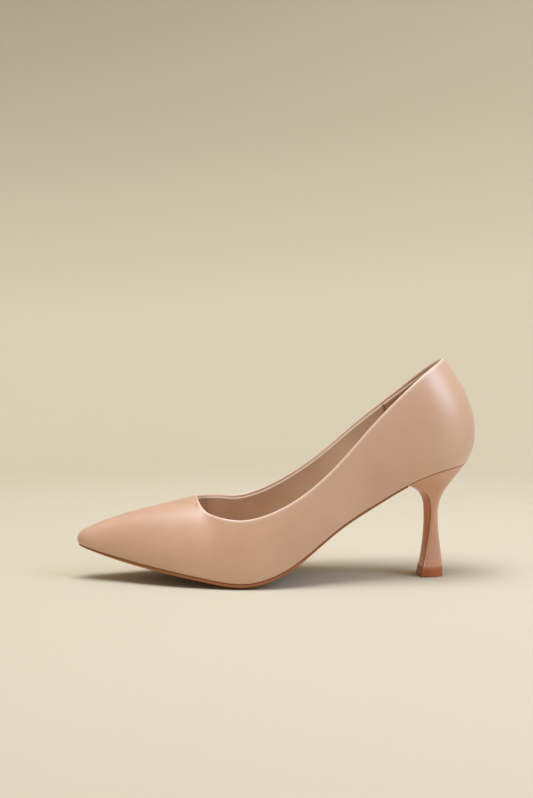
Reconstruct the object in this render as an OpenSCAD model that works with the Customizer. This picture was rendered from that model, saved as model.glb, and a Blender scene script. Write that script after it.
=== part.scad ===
// Pointed-toe court shoe (pump), left foot, on a flared 70 mm covered heel.
// Millimetres, +Z up, toe towards -X, heel towards +X, outer (lateral) side towards -Y.
// Every sheet of the shoe is laid off one "last": a closed ring of stations round the
// feather edge, carried up the wall by cubic curves to the crown line.

/* [Upper] */
// thickness of the outer leather
upper_t = 1.2; // [0.8:0.1:1.6]
// thickness of puff, counter and backing between leather and lining
inter_t = 0.6; // [0.4:0.05:0.8]
// thickness of the lining
lining_t = 0.7; // [0.4:0.05:0.9]
// lasting margin turned under the foot
margin_w = 12; // [8:0.5:14]
// multiplies every half width of the last
girth_k = 1; // [0.94:0.01:1.06]
// lowers (below 1) or raises the outer topline
outer_top_k = 1; // [0.95:0.01:1.03]
// lowers (below 1) or raises the inner topline
inner_top_k = 1; // [0.95:0.01:1.03]

/* [Bottom] */
// outsole thickness
sole_t = 1.9; // [1.4:0.1:2.4]
// insole board thickness
board_t = 1.1; // [0.8:0.1:1.2]
// forefoot foam and rear shank board thickness
pad_t = 1.1; // [0.8:0.1:1.4]
// sock lining thickness
sock_t = 0.7; // [0.5:0.1:1]
// height of the soft heel pad
heel_pad_t = 1.5; // [1:0.1:2.5]
// half width of the steel shank
shank_hw = 4.5; // [3:0.5:6]

/* [Heel] */
// height of the replaceable top piece
tip_h = 6; // [4:0.5:8]
// thickness of the leather over the heel
cover_t = 0.7; // [0.5:0.1:1]
// multiplies the stem half width
stem_k = 1; // [0.85:0.05:1.3]
// squareness of the stem section, 1 is a plain half ellipse
stem_square = 0.72; // [0.5:0.02:1]
// multiplies how far the front face of the stem bulges forwards
stem_bow = 1; // [0.6:0.1:1.2]
// radius of the steel tube in the stem
tube_r = 1.8; // [1.6:0.1:2]
// radius of the top piece pin
pin_r = 1.2; // [1:0.1:1.3]
// radius of the seat screw
screw_r = 2; // [1.5:0.1:2.2]
// radius of the seat nails
nail_r = 0.8; // [0.6:0.1:1]

/* [Hidden] */
N = 12;            // stations from toe tip to heel back
UT = 4.77;         // throat, where the topline starts
M = 40;            // columns a side
NT = 12;           // columns from the tip to the throat
SV = NT + 3;       // column where the vamp and quarter linings meet
J = 9;             // rows up the wall
Q = 3;             // rows from the feather edge to the middle
L = 12;            // levels down the heel
G = 0.1;           // gap between bottom sheets
g = 0.05;          // gap between wall sheets
LEATHER = [0.80, 0.66, 0.58];
LIN = [0.75, 0.64, 0.56];

// feather edge, wall handles and crown line at the 13 stations
FX = [-120.8, -116, -104, -86, -65, -42, -18, 8, 34, 59, 82, 102, 115.5];
FZ = [21.5, 20.2, 16.9, 13.1, 9.4, 5.5, 3.7, 13.6, 32.9, 48.4, 61.2, 67.6, 69.8];
WO = [-2, 3.6, 8.5, 16.5, 25.5, 32.5, 36, 33, 26.5, 23, 23, 19.5, 0];
WI = [2, 6.6, 11, 17.5, 25.5, 35, 35.5, 29, 21.5, 19.5, 22.5, 19.5, 0];
CROWN = [0.4, 0.4, 0.6, 1, 1.5, 2, 2.1, 1.2, 0.6, 0.6, 1, 1.3, 1.4];
AX = [-122.5, -118.2, -105, -86, -65, -42, -18, 8, 34, 59.5, 84, 109, 125];
AO = [0, 1.2, 1.5, 1.8, 2, 2.5, 3, 3.5, 4, 4.5, 5.3, 5, 0];
AZ = [25.5, 25.5, 26.5, 27.5, 28.5, 29.5, 20, 28, 46, 62, 76, 83, 84];
BD = [-4, -3.7, -1.5, 0, 0.5, 1, 1, 2, 2, 8, 11, 20, 32];
BY = [0, 4.6, 6, 9, 13.5, 17.5, 30, 33, 31, 29.5, 28, 23.5, 0];
BH = [0, 0, 0, 0, 0, -3, -12, -18, -18, -15, -17, -24, -31];
KX = [-116.5, -112.3, -102.5, -86, -66, -44, -20, 4, 28, 46, 68, 84, 92];
KE = [0, 0, 0, 0, 0, 18, 24, 26, 26, 25, 22, 14.5, 0];
KZ = [30.4, 32.3, 36.3, 41.3, 46.2, 51.6, 58, 70, 86, 103, 122, 136, 143];
YC = [2, 2, 1.8, 1.4, 0.9, 0.5, 0.3, 0, 0, 0, 0, 0, 0];
// share of the wall height left at the topline, throat to heel back
VO = [1, 0.69, 0.595, 0.62, 0.65, 0.67, 0.76, 0.86, 0.90];
VI = [1, 0.9, 0.78, 0.765, 0.785, 0.79, 0.795, 0.82, 0.90];
// heel: front and back lines and half width from the top piece up to the seat
HBX = [88.1, 89.9, 91.5, 92.7, 93.2, 92.2, 89, 83, 76.2];
HBZ = [0, 8.5, 17.5, 26.5, 34.5, 40.8, 45.6, 48.6, 51];
HKX = [101.3, 100.2, 99.1, 98.4, 98.7, 100.8, 105, 110.2, 115.3];
HKZ = [0, 9, 18, 27, 36, 43.5, 50.2, 56.9, 63.7];
HW = [7.6, 6.8, 6.1, 5.6, 5.7, 7, 10.5, 16, 22.2];
HB = [0.8, 1.6, 2.3, 3, 3.6, 3.4, 2.9, 1.6, 0.6]; // how far the front is bowed
HX = 95;           // axis of tube, pin and screw

// ---- curves -------------------------------------------------------------
WT = [for (j = [-10:10]) sqrt(3) * pow(sqrt(3) - 2, abs(j))];
function ring(a, b) = concat([for (i = [0:N]) a[i]], [for (i = [N - 1:-1:1]) b[i]]);
function coef(v) = let(n = len(v)) [for (i = [0:n - 1])
  WT * [for (j = [-10:10]) v[(i + j + 2 * n) % n]]];
function bs(c, r) = let(n = len(c), k = floor(r), t = r - k, m = ((k % n) + n) % n)
  [pow(1 - t, 3), 3 * pow(t, 3) - 6 * t * t + 4, -3 * pow(t, 3) + 3 * t * t + 3 * t + 1,
  pow(t, 3)] / 6 * [c[(m + n - 1) % n], c[m], c[(m + 1) % n], c[(m + 2) % n]];
function clamp(x, a, b) = min(max(x, a), b);
function sm(x) = let(t = clamp(x, 0, 1)) t * t * t * (t * (6 * t - 15) + 10);
function unit(v) = v / max(norm(v), 1e-9);
function wrap(r) = r - 24 * floor(r / 24);
function uof(r) = let(w = wrap(r)) w <= N ? w : 24 - w;
function P3(x, y, z) = [for (i = [0:N]) [x[i], y[i], z[i]]];
CF = coef(ring(P3(FX, -WO * girth_k, FZ), P3(FX, WI * girth_k, FZ)));
CA = coef(ring(P3(AX, -(WO + AO) * girth_k, AZ), P3(AX, (WI + AO) * girth_k, AZ)));
CB = coef(ring(P3(BD, -BY * girth_k, BH), P3(BD, BY * girth_k, BH)));
CK = coef(ring(P3(KX, YC, KZ), P3(KX, YC, KZ)));
CE = coef(ring(-KE * girth_k, KE * girth_k));
CC = coef(ring(CROWN, CROWN));
function odd(v) = let(n = len(v) - 1) concat([for (k = [n:-1:1]) 2 * v[0] - v[k]], v,
  [for (k = [n - 1:-1:1]) v[k]]);
CVO = coef(odd(VO));
CVI = coef(odd(VI));
function ext(v) = let(n = len(v) - 1) concat([for (k = [n:-1:1]) 2 * v[0] - v[k]], v,
  [for (k = [n - 1:-1:1]) 2 * v[n] - v[k]], [v[n] * 2 - v[0]]);
CH = [for (v = [HBX, HBZ, HKX, HKZ, HW, HB]) coef(ext(v))];
function hs(k, l) = bs(CH[k], 8 + 8 * l);

// four control points of the wall curve at ring position r
function net(r) = let(u = uof(r), k = bs(CK, r), b = bs(CB, r),
  a = bs(CK, u + 0.3) - bs(CK, max(u - 0.3, 0)), f = 1 - sm((u - 4.5) / 1.5))
  [bs(CF, r), bs(CA, r), k + [b[0], b[1], b[2] * (1 - f) + b[0] * a[2] / (a[0] + 1e-6) * f],
  k + [0, bs(CE, r) * sm((u - UT) / 0.8), 0]];
function bez(p, v) = pow(1 - v, 3) * p[0] + 3 * v * pow(1 - v, 2) * p[1]
  + 3 * v * v * (1 - v) * p[2] + pow(v, 3) * p[3];
function dbez(p, v) = pow(1 - v, 2) * (p[1] - p[0]) + 2 * v * (1 - v) * (p[2] - p[1])
  + v * v * (p[3] - p[2]);
function vtop(r) = let(u = uof(r), q = sqrt(max((u - UT) / (N - UT), 0)))
  u <= UT + 1e-6 ? 1 : wrap(r) <= N ? bs(CVO, 8 + 8 * q) * (1 - (1 - outer_top_k) * sm(q * 3))
  : bs(CVI, 8 + 8 * q) * (1 - (1 - inner_top_k) * sm(q * 3));
// column of wall points at depth d below the outer face, rows js
function col(r, d, js) = let(p = net(r), pa = net(r - 0.002), pb = net(r + 0.002),
  vb = upper_t / 3 / (p[1][2] - p[0][2]), vt = vtop(r), tip = 1 - sm(uof(r) / 1.3))
  [for (j = js) let(v = j < 0 ? 0 : vb + (vt - vb) * j / J, w = min(v, 0.98),
  n0 = unit(cross(bez(pb, w) - bez(pa, w), dbez(p, w))),
  n = uof(r) <= UT + 1e-6 && v > 0.999 ? unit([n0[0], 0, n0[2]]) : n0)
  bez(p, v) - n * d * (1 - tip * (0.25 + 0.35 * v * v))];

// ---- columns ------------------------------------------------------------
function cs(i) = (i - NT) / (M - NT);
function cu(i) = i == M ? N : i <= NT ? UT * i / NT
  : UT + (N - UT) * (2.2 - 1.2 * cs(i)) * cs(i) * cs(i);
D = 0.012;         // how far a sheet stops short of its neighbour, in stations
function run(a, b) = [for (i = [a:b]) cu(i) + (i == a && a > 0 ? D : 0)
  - (i == b && b < M ? D : 0)];
function rev(v) = [for (i = [len(v) - 1:-1:0]) v[i]];
function tail(v) = [for (i = [1:len(v) - 1]) v[i]];
function round_toe(b) = let(u = run(0, b)) concat(-rev(tail(u)), u);
function round_heel(a) = let(u = run(a, M)) concat(u, [for (x = tail(rev(u))) 24 - x]);
RING = concat([for (i = [0:M]) cu(i)], [for (i = [M - 1:-1:1]) 24 - cu(i)]);
function tri(a, b, c) = a == b || b == c || a == c ? [] : [[a, b, c]];
function quad(a, b, c, d) = concat(tri(a, b, c), tri(a, c, d));
function flat1(v) = [for (a = v) for (b = a) b];

// two skins of wall rows joined into one closed sheet; rows meet on the ridge of the vamp
function twin(rs, p) = let(m = [for (q = [0:len(rs) - 1])
  if (abs(wrap(rs[p] + rs[q] + 1e-4)) < 2e-4) q]) m[0];
module wall(rs, closed, outer, inner, ridge) {
  n = len(rs);
  h = len(outer[0]);
  k = len(inner[0]);
  onr = [for (r = rs) ridge && uof(r) <= UT + 1e-6];
  rp = [for (p = [0:n - 1]) onr[p] && (wrap(rs[p]) > N) ? twin(rs, p) : p];
  function a(p, j) = (j == h - 1 ? rp[p % n] : p % n) * h + j;
  function b(p, j) = n * h + (j == k - 1 ? rp[p % n] : p % n) * k + j;
  last = closed ? n - 1 : n - 2;
  skin = flat1([for (p = [0:last]) concat(
    flat1([for (j = [0:h - 2]) quad(a(p, j), a(p, j + 1), a(p + 1, j + 1), a(p + 1, j))]),
    flat1([for (j = [0:k - 2]) quad(b(p, j), b(p + 1, j), b(p + 1, j + 1), b(p, j + 1))]),
    quad(a(p, 0), a(p + 1, 0), b(p + 1, 0), b(p, 0)),
    onr[p] && onr[(p + 1) % n] ? [] :
    quad(a(p, h - 1), b(p, k - 1), b(p + 1, k - 1), a(p + 1, h - 1)))]);
  ends = closed ? [] : concat(
    flat1([for (j = [0:h - 2]) quad(a(0, j), b(0, j), b(0, j + 1), a(0, j + 1))]),
    flat1([for (j = [0:h - 2]) quad(a(n - 1, j), a(n - 1, j + 1), b(n - 1, j + 1), b(n - 1, j))]));
  polyhedron(points = concat(flat1(outer), flat1(inner)), faces = concat(skin, ends),
    convexity = 10);
}
module layer(rs, closed, j0, j1, d0, d1) {
  js = concat([j0], [for (j = [0:J]) if (j > j0 + 0.1 && j < j1 - 0.1) j], [j1]);
  wall(rs, closed, [for (r = rs) col(r, d0, js)], [for (r = rs) col(r, d1, js)], j1 == J);
}

// ---- bottom surface -----------------------------------------------------
UA = cu(4);
UB = cu(35);
function mid(u) = let(w = clamp(u, UA, UB), a = bs(CF, w), b = bs(CF, 24 - w))
  (a + b) / 2 - [0, 0, bs(CC, w)];
// point a share f of the way from the feather edge to the middle, lifted by h
function bed(r, f, h) = let(a = bs(CF, r), c = mid(uof(r)))
  [a[0] + (c[0] - a[0]) * f, a[1] + (c[1] - a[1]) * f,
  a[2] + (c[2] - a[2]) * (1 - (1 - f) * (1 - f)) + h];
function reach(r) = let(a = bs(CF, r), c = mid(uof(r))) norm([c[0] - a[0], c[1] - a[1]]);
function inset(r, d) = d / reach(r);
// sheet over the bottom: stations us, edge share per station, lift per station
module sheet(us, edge, h0, h1, ground) {
  n = len(us);
  W = 2 * Q;
  ia = len([for (u = us) if (u < UA - 1e-6) 1]);
  ib = n - 1 - len([for (u = us) if (u > UB + 1e-6) 1]);
  function ci(i) = clamp(i, ia, ib);
  function id(i, w) = w == Q ? ci(i) * (W + 1) + w :
    (w > Q && (us[i] == 0 || us[i] == N) ? i * (W + 1) + W - w : i * (W + 1) + w);
  function pt(i, w, h) = let(r = w <= Q ? us[i] : 24 - us[i], k = w <= Q ? w : W - w,
    e = edge(us[i], r), p = bed(r, e + (1 - e) * k / Q, h(us[i])))
    ground ? [p[0], p[1], max(p[2], 0)] : p;
  T = [for (i = [0:n - 1]) for (w = [0:W]) pt(i, w, h1)];
  S = [for (i = [0:n - 1]) for (w = [0:W]) pt(i, w, h0)];
  o = len(T);
  faces = concat(
    flat1([for (i = [0:n - 2]) for (w = [0:W - 1])
      quad(id(i, w), id(i, w + 1), id(i + 1, w + 1), id(i + 1, w))]),
    flat1([for (i = [0:n - 2]) for (w = [0:W - 1])
      quad(o + id(i, w), o + id(i + 1, w), o + id(i + 1, w + 1), o + id(i, w + 1))]),
    flat1([for (i = [0:n - 2])
      concat(quad(id(i, 0), id(i + 1, 0), o + id(i + 1, 0), o + id(i, 0)),
        quad(id(i, W), o + id(i, W), o + id(i + 1, W), id(i + 1, W)))]),
    us[0] == 0 ? [] : flat1([for (w = [0:W - 1])
      quad(id(0, w), o + id(0, w), o + id(0, w + 1), id(0, w + 1))]),
    us[n - 1] == N ? [] : flat1([for (w = [0:W - 1])
      quad(id(n - 1, w), id(n - 1, w + 1), o + id(n - 1, w + 1), o + id(n - 1, w))]));
  polyhedron(points = concat(T, S), faces = faces, convexity = 10);
}
H1 = upper_t + G;              // underside of the insole board
H2 = H1 + board_t;             // its top
H3 = H2 + G + pad_t;           // top of foam and shank board
H4 = H3 + G;                   // underside of the sock
function rise(u) = (heel_pad_t + G) * sm((u - 8.9) / 1.3);

// ---- wall parts ---------------------------------------------------------
function under(r, h) = [for (d = [margin_w, margin_w / 2, 2.4])
  bed(r, min(inset(r, d), 0.76 * d / margin_w + 0.02), h)];
module upper() color(LEATHER) wall(RING, true,
  [for (r = RING) concat(under(r, 0), col(r, 0, concat([-1], [for (j = [1:J]) j])))],
  [for (r = RING) concat(under(r, upper_t), col(r, upper_t, [for (j = [0:J]) j]))], true);
d1 = upper_t + g;
d2 = d1 + inter_t;
d3 = d2 + g;
d4 = d3 + lining_t;
module topline_tape() color("white") 
  layer(round_heel(NT - 1), false, J - 1 + 0.06, J - 0.14, d1, d2);
module toe_puff() color("tan") layer(round_toe(6), false, 0.03, J, d1, d2);
function over(u, d, js) = concat(col(u, d, js), tail(rev(col(24 - u, d, js))));
module vamp_backing() color("ivory") {
  u = run(6, NT - 1);
  js = concat([0.03], [for (j = [1:J]) j]);
  wall([for (i = [0:len(u) - 1]) i + 0.5], false, [for (x = u) over(x, d1, js)],
    [for (x = u) over(x, d2, js)], false);
}
module outer_quarter_backing() color("ivory")
  layer(run(NT - 1, 31), false, 0.03, J - 1 - 0.06, d1, d2);
module inner_quarter_backing() color("ivory")
  layer([for (x = rev(run(NT - 1, 31))) 24 - x], false, 0.03, J - 1 - 0.06, d1, d2);
module heel_counter() color("sienna") layer(round_heel(31), false, 0.03, J - 1 - 0.06, d1, d2);
module vamp_lining() color(LIN) layer(round_toe(SV), false, 0.03, J, d3, d4);
module outer_quarter_lining() color(LIN) layer(run(SV, 32), false, 0.03, J, d3, d4);
module inner_quarter_lining() color(LIN)
  layer([for (x = rev(run(SV, 32))) 24 - x], false, 0.03, J, d3, d4);
module heel_grip() color(LIN * 0.9) layer(round_heel(32), false, 0.03, J, d3, d4);

// ---- bottom parts -------------------------------------------------------
NAILS = [[86, -8], [86, 8], [99, -7], [99, 7]];
function ux(x) = x < 82 ? 9 + (x - 59) / 23 : 10 + (x - 82) / 20;
module nail_holes(r) for (p = NAILS) translate([p[0], p[1], 40]) cylinder(h = 40, r = r);
module screw_hole(r) translate([HX, 0, 40]) cylinder(h = 40, r = r);
function slope(u) = let(a = mid(u - 0.2), b = mid(u + 0.2)) atan2(b[2] - a[2], b[0] - a[0]);
module on_bed(u, h) translate(mid(u) + [0, 0, h]) rotate([0, -slope(u), 0]) children();
U1 = cu(27) + 0.17;            // rivets sit halfway between two columns
U2 = cu(31) + 0.17;
module rivet_holes(r) for (u = [U1, U2]) on_bed(u, -2) cylinder(h = 9, r = r);
// the sole is feathered towards the toe, thinner in the waist and skived at the heel breast
function sole_at(u) = sole_t * (0.4 + 0.6 * sm((u + 0.4) / 4.6)) * (1 - 0.3 * sm((u - 6.6) / 1.4))
  * (1 - 0.3 * sm((u - 8.4) / 1.2));
module outsole() color("sienna")
  sheet(run(0, 32), function(u, r) inset(r, 0.25), function(u) -G - sole_at(u), function(u) -G, true);
module bottom_filler() color("tan")
  sheet(run(9, 25), function(u, r) inset(r, margin_w + 0.6), function(u) 0.05,
  function(u) upper_t - 0.05, false);
module steel_shank() color("silver") difference() {
  sheet(run(26, 35), function(u, r) 1 - shank_hw / reach(r), function(u) 0.05,
    function(u) upper_t - 0.05, false);
  rivet_holes(1.15);
  translate([HX, 0, 40]) cylinder(h = 40, r = screw_r + 0.2);
}
module insole_board() color("burlywood") difference() {
  sheet(run(0, M), function(u, r) inset(r, 2.8), function(u) H1, function(u) H2, false);
  nail_holes(nail_r + 0.05);
  screw_hole(screw_r + 0.2);
  rivet_holes(1.15);
}
module forefoot_cushion() color("khaki")
  sheet(run(3, 23), function(u, r) inset(r, 4.2), function(u) H2 + G, function(u) H3, false);
module shank_board() color("peru") difference() {
  sheet(run(23, M), function(u, r) inset(r, 4.2), function(u) H2 + G, function(u) H3, false);
  nail_holes(nail_r + 0.05);
  screw_hole(screw_r + 0.2);
  rivet_holes(1.15);
}
module heel_cushion() color("khaki")
  sheet(run(31, M), function(u, r) inset(r, 7), function(u) H4,
  function(u) H4 + rise(u) - 0.05, false);
module sock_lining() color(LIN)
  sheet(run(2, M), function(u, r) inset(r, 3.1), function(u) H4 + rise(u),
  function(u) H4 + rise(u) + sock_t, false);
module rivet(u) color("gainsboro") on_bed(u, 0) {
  translate([0, 0, -0.02]) cylinder(h = H3 - 0.25, r = 1.1);
}
module shank_rivet_front() rivet(U1);
module shank_rivet_rear() rivet(U2);

// ---- heel ---------------------------------------------------------------
HCOL = run(32, M);
hn = len(HCOL);
function huc(u) = (u - HCOL[0]) / (N - HCOL[0]);
function dee(a, l, s, in) = let(xb = hs(0, l) + in, xk = hs(2, l) - in,
  w = (hs(4, l) * (l < 0.7 ? 1 + (stem_k - 1) * (1 - sm(l / 0.7)) : 1) - in),
  e = stem_square + (1 - stem_square) * sm((l - 0.55) / 0.4),
  X = pow(sin(90 * a), e), Y = pow(cos(90 * a), e))
  [xb + (xk - xb) * X, s * w * Y, tip_h + 0.1 + hs(1, l) + (hs(3, l) - hs(1, l)) * X];
function breast(t, l, in, pin) = let(w = hs(4, l)
  * (l < 0.7 ? 1 + (stem_k - 1) * (1 - sm(l / 0.7)) : 1) - in)
  [hs(0, l) + pin - stem_bow * hs(5, l) * (1 - t * t), w * t, tip_h + 0.1 + hs(1, l)];
function seat(r, d) = bed(r, inset(r, 0.25 + d), -G);
function w3(l) = l * l * l;
function side_pt(r, l, in) = let(u = uof(r), a = huc(u), s = wrap(r) <= N ? -1 : 1)
  dee(a, l, s, in) + w3(l) * (seat(r, in) - dee(a, 1, s, in));
function across(t, d) = let(k = abs(t), r = t < 0 ? HCOL[0] : 24 - HCOL[0],
  e = inset(r, 0.25 + d), f = e + (1 - e) * (1 - k)) bed(r, f, -G);
function front_pt(t, l, in, pin) = breast(t, l, in, pin)
  + w3(l) * (across(t, in) + [pin, 0, 0] - breast(t, 1, in, pin));
HR = concat(HCOL, [for (u = tail(rev(HCOL))) 24 - u]);
TS = [for (w = [0:2 * Q]) -1 + w / Q];
module heel_cover() color(LEATHER * 0.9) wall(HR, false,
  [for (r = HR) [for (l = [0:L]) side_pt(r, l / L, 0)]],
  [for (r = HR) [for (l = [0:L]) side_pt(r, l / L, cover_t)]], false);
module heel_breast_cover() color(LEATHER * 0.8) {
  ts = TS;
  wall([for (t = ts) t + 8], false,
    [for (t = rev(ts)) [for (l = [0:L]) front_pt(t, l / L, cover_t + 0.05, 0)]],
    [for (t = rev(ts)) [for (l = [0:L]) front_pt(t, l / L, cover_t + 0.05, cover_t)]], false);
}
module heel_body() {
  in = cover_t + 0.05;
  W = 2 * Q;
  n = hn;
  ib = n - 1 - len([for (u = HCOL) if (u > UB + 1e-6) 1]);
  function id(i, w) = w == Q ? min(i, ib) * (W + 1) + w :
    (w > Q && i == n - 1 ? i * (W + 1) + W - w : i * (W + 1) + w);
  T = [for (i = [0:n - 1]) for (w = [0:W]) let(u = HCOL[i], r = w <= Q ? u : 24 - u,
    k = w <= Q ? w : W - w, e = inset(r, 0.25 + in)) bed(r, e + (1 - e) * k / Q, -G)
    + (i == 0 ? [in, 0, 0] : [0, 0, 0])];
  o = len(T);
  nr = 2 * n - 1;
  nc = nr + W - 1;
  top = concat([for (i = [0:n - 1]) id(i, 0)], [for (i = [n - 2:-1:0]) id(i, W)],
    [for (w = [W - 1:-1:1]) id(0, w)]);
  C = [for (c = [0:nc - 1]) for (l = [0:L - 1])
    c < nr ? side_pt(HR[c], l / L, in) + (c == 0 || c == nr - 1 ? [w3(l / L) * in, 0, 0] : [0, 0, 0])
    : front_pt(TS[W - 1 - (c - nr)], l / L, in, in)];
  function v(c, l) = l == L ? top[c % nc] : o + (c % nc) * L + l;
  faces = concat(
    flat1([for (i = [0:n - 2]) for (w = [0:W - 1])
      quad(id(i, w), id(i, w + 1), id(i + 1, w + 1), id(i + 1, w))]),
    flat1([for (c = [0:nc - 1]) for (l = [0:L - 1])
      quad(v(c, l), v(c, l + 1), v(c + 1, l + 1), v(c + 1, l))]),
    [[for (c = [0:nc - 1]) v(c, 0)]]);
  polyhedron(points = concat(T, C), faces = faces, convexity = 10);
}
TUBE_TOP = 46;
module heel_block() color("wheat") difference() {
  heel_body();
  translate([HX, 0, 0]) cylinder(h = TUBE_TOP + 0.1, r = tube_r + 0.05);
  translate([HX, 0, TUBE_TOP + 3]) cylinder(h = 30, r = screw_r + 0.05);
  for (p = NAILS) translate([p[0], p[1], 58]) cylinder(h = 20, r = nail_r + 0.05);
}
module heel_tube() color("silver") difference() {
  translate([HX, 0, tip_h + 0.4]) cylinder(h = TUBE_TOP - tip_h - 0.4, r = tube_r);
  cylinder(h = 1, r = 1);
  translate([HX, 0, 0]) cylinder(h = 60, r = pin_r + 0.05);
}
module seat_screw() color("gray") {
  top = bed(ux(HX), 1, H3)[2];
  difference() {
    union() {
      translate([HX, 0, TUBE_TOP + 3.2]) cylinder(h = top - TUBE_TOP - 3.2 - 0.6, r = screw_r);
    }
    translate([HX - 0.4, -1.3, top - 1.6]) cube([0.8, 2.6, 3]);
  }
}
module seat_nails() color("gray") for (p = NAILS) {
  top = bed(ux(p[0]), 0.6, H3)[2] - 0.5;
  translate([p[0], p[1], 58.5]) cylinder(h = top - 58.5, r = nail_r);
}
module top_piece() color("sienna") difference() {
  linear_extrude(height = tip_h) polygon(concat(
    [for (i = [0:12]) let(p = dee(i / 12, 0, -1, -0.1)) [p[0], p[1]]],
    [for (i = [11:-1:0]) let(p = dee(i / 12, 0, 1, -0.1)) [p[0], p[1]]],
    [for (t = [0.8:-0.2:-0.8]) let(p = breast(t, 0, -0.1, -0.1)) [p[0], p[1]]]));
  translate([HX, 0, 2]) cylinder(h = 1.2, r = 3.05);
  translate([HX, 0, 2]) cylinder(h = 10, r = pin_r + 0.05);
}
module top_piece_pin() color("gainsboro") {
  translate([HX, 0, 2.05]) cylinder(h = 1.1, r = 3);
  translate([HX, 0, 3]) cylinder(h = 22, r = pin_r);
}

upper();
topline_tape();
toe_puff();
vamp_backing();
outer_quarter_backing();
inner_quarter_backing();
heel_counter();
vamp_lining();
outer_quarter_lining();
inner_quarter_lining();
heel_grip();
insole_board();
forefoot_cushion();
shank_board();
steel_shank();
shank_rivet_front();
shank_rivet_rear();
bottom_filler();
heel_cushion();
sock_lining();
outsole();
heel_block();
heel_cover();
heel_breast_cover();
heel_tube();
seat_screw();
seat_nails();
top_piece();
top_piece_pin();
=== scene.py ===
"""Visual model of a pointed-toe court shoe (pump) for the left foot.

Every sheet of the shoe is laid off one last: a closed ring of stations round the feather
edge, carried up the wall by cubic curves to the crown line. +X runs from the toe tip to the
heel, +Y from the outer (lateral) side to the inner (medial) side, and +Z is up. Lengths in the
classes are millimetres, and every mesh is written in metres.
"""

import logging
import math
from dataclasses import dataclass, field
from enum import Enum

import bpy
import numpy as np
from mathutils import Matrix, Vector


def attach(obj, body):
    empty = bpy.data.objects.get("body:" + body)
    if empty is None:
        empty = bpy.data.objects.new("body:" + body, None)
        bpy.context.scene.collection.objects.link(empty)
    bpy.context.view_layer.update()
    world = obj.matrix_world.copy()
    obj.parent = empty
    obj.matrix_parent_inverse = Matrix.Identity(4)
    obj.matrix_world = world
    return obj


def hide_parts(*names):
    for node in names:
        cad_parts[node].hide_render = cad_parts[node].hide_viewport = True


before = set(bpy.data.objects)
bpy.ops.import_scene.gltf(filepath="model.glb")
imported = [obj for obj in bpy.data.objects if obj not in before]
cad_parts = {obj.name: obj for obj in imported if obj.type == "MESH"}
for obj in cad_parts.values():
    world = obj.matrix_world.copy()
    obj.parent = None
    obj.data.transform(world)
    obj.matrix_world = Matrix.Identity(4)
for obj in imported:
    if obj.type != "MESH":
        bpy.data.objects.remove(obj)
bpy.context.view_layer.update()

LOG = logging.getLogger("court_shoe")
MM = 0.001
STATIONS = 12
RING = 2 * STATIONS
THROAT = 4.77
STATION_MM = 24.0
BALL_X = -25.0
TOUCH = 1e-6


class Mark(Enum):
    """Surface attributes that a finish reads: pale edges (painted highlight on the leather, real
    edge colour on the sole and top piece), dark seams (some of them painted shade in a crevice),
    and rubbed places.
    """

    RIM_AND_HIGHLIGHT = "rim"
    SEAM_AND_SHADE = "seam"
    RUB = "rub"


# --------------------------------------------------------------------------- curves


def closed_spline(values: np.ndarray) -> np.ndarray:
    """Return the control values of a closed cubic B-spline through a ring of values.

    The spline's (1, 4, 1) / 6 smoothing is undone by a symmetric geometric series whose
    ratio is sqrt(3) - 2.

    Args:
        values: one row a station, evenly spaced round the ring.

    Returns:
        Control values of the same shape.
    """
    steps = np.arange(-10, 11)
    weights = math.sqrt(3.0) * (math.sqrt(3.0) - 2.0) ** np.abs(steps)
    return sum(w * np.roll(values, -s, axis=0) for s, w in zip(steps, weights))


def spline_at(control: np.ndarray, r: np.ndarray) -> np.ndarray:
    """Evaluate a closed uniform cubic B-spline.

    Args:
        control: control values round the ring.
        r: positions, in stations; they wrap.

    Returns:
        The values at r, with r's shape and then the shape of one control value.
    """
    r = np.asarray(r, float)
    knot = np.floor(r).astype(int)
    t = r - knot
    if control.ndim > 1:
        t = t[..., None]
    c = [control[(knot + o) % len(control)] for o in (-1, 0, 1, 2)]
    return (
        (1 - t) ** 3 * c[0]
        + (3 * t**3 - 6 * t**2 + 4) * c[1]
        + (-3 * t**3 + 3 * t**2 + 3 * t + 1) * c[2]
        + t**3 * c[3]
    ) / 6


def open_spline(values: tuple[float, ...], even_end: bool) -> np.ndarray:
    """Return control values for an open row of stations, mirrored at both ends.

    The row is reflected through its first value, and at the far end either as an even
    function, for a curve that closes on its mirror image, or through its last value.

    Args:
        values: one number a station.
        even_end: True where the far end closes on its own mirror image.

    Returns:
        Control values; station k sits at len(values) - 1 + k.
    """
    v = np.asarray(values, float)
    head = 2 * v[0] - v[:0:-1]
    last = v[-2:0:-1] if even_end else np.append(2 * v[-1] - v[-2:0:-1], 2 * v[-1] - v[0])
    return closed_spline(np.concatenate([head, v, last]))


def ease(t: np.ndarray) -> np.ndarray:
    """Rise smoothly from 0 to 1 as t goes from 0 to 1: t cubed times (6t^2 - 15t + 10)."""
    t = np.clip(t, 0.0, 1.0)
    return t**3 * (t * (6 * t - 15) + 10)


def bell(distance: np.ndarray, width: float) -> np.ndarray:
    """Fall off either side of 0 as exp(-(distance / width)^2)."""
    return np.exp(-((distance / width) ** 2))


def unit(v: np.ndarray) -> np.ndarray:
    """Scale vectors on the last axis to length 1."""
    return v / np.maximum(np.linalg.norm(v, axis=-1, keepdims=True), 1e-9)


def from_tip(r: np.ndarray) -> np.ndarray:
    """Turn ring positions into stations from the toe tip, 0 to 12, the same on both sides."""
    w = np.asarray(r, float) % RING
    return np.where(w <= STATIONS, w, RING - w)


def station(s: np.ndarray) -> np.ndarray:
    """Turn a share s of the way from throat to heel back into a station.

    It is the throat plus the rest times 2.2 s^2 - 1.2 s^3, so even steps of s crowd where
    the topline leaves the throat.
    """
    return THROAT + (STATIONS - THROAT) * (2.2 - 1.2 * s) * s * s


BREAST = station(20 / 28)

# --------------------------------------------------------------------------- mesh making


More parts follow.
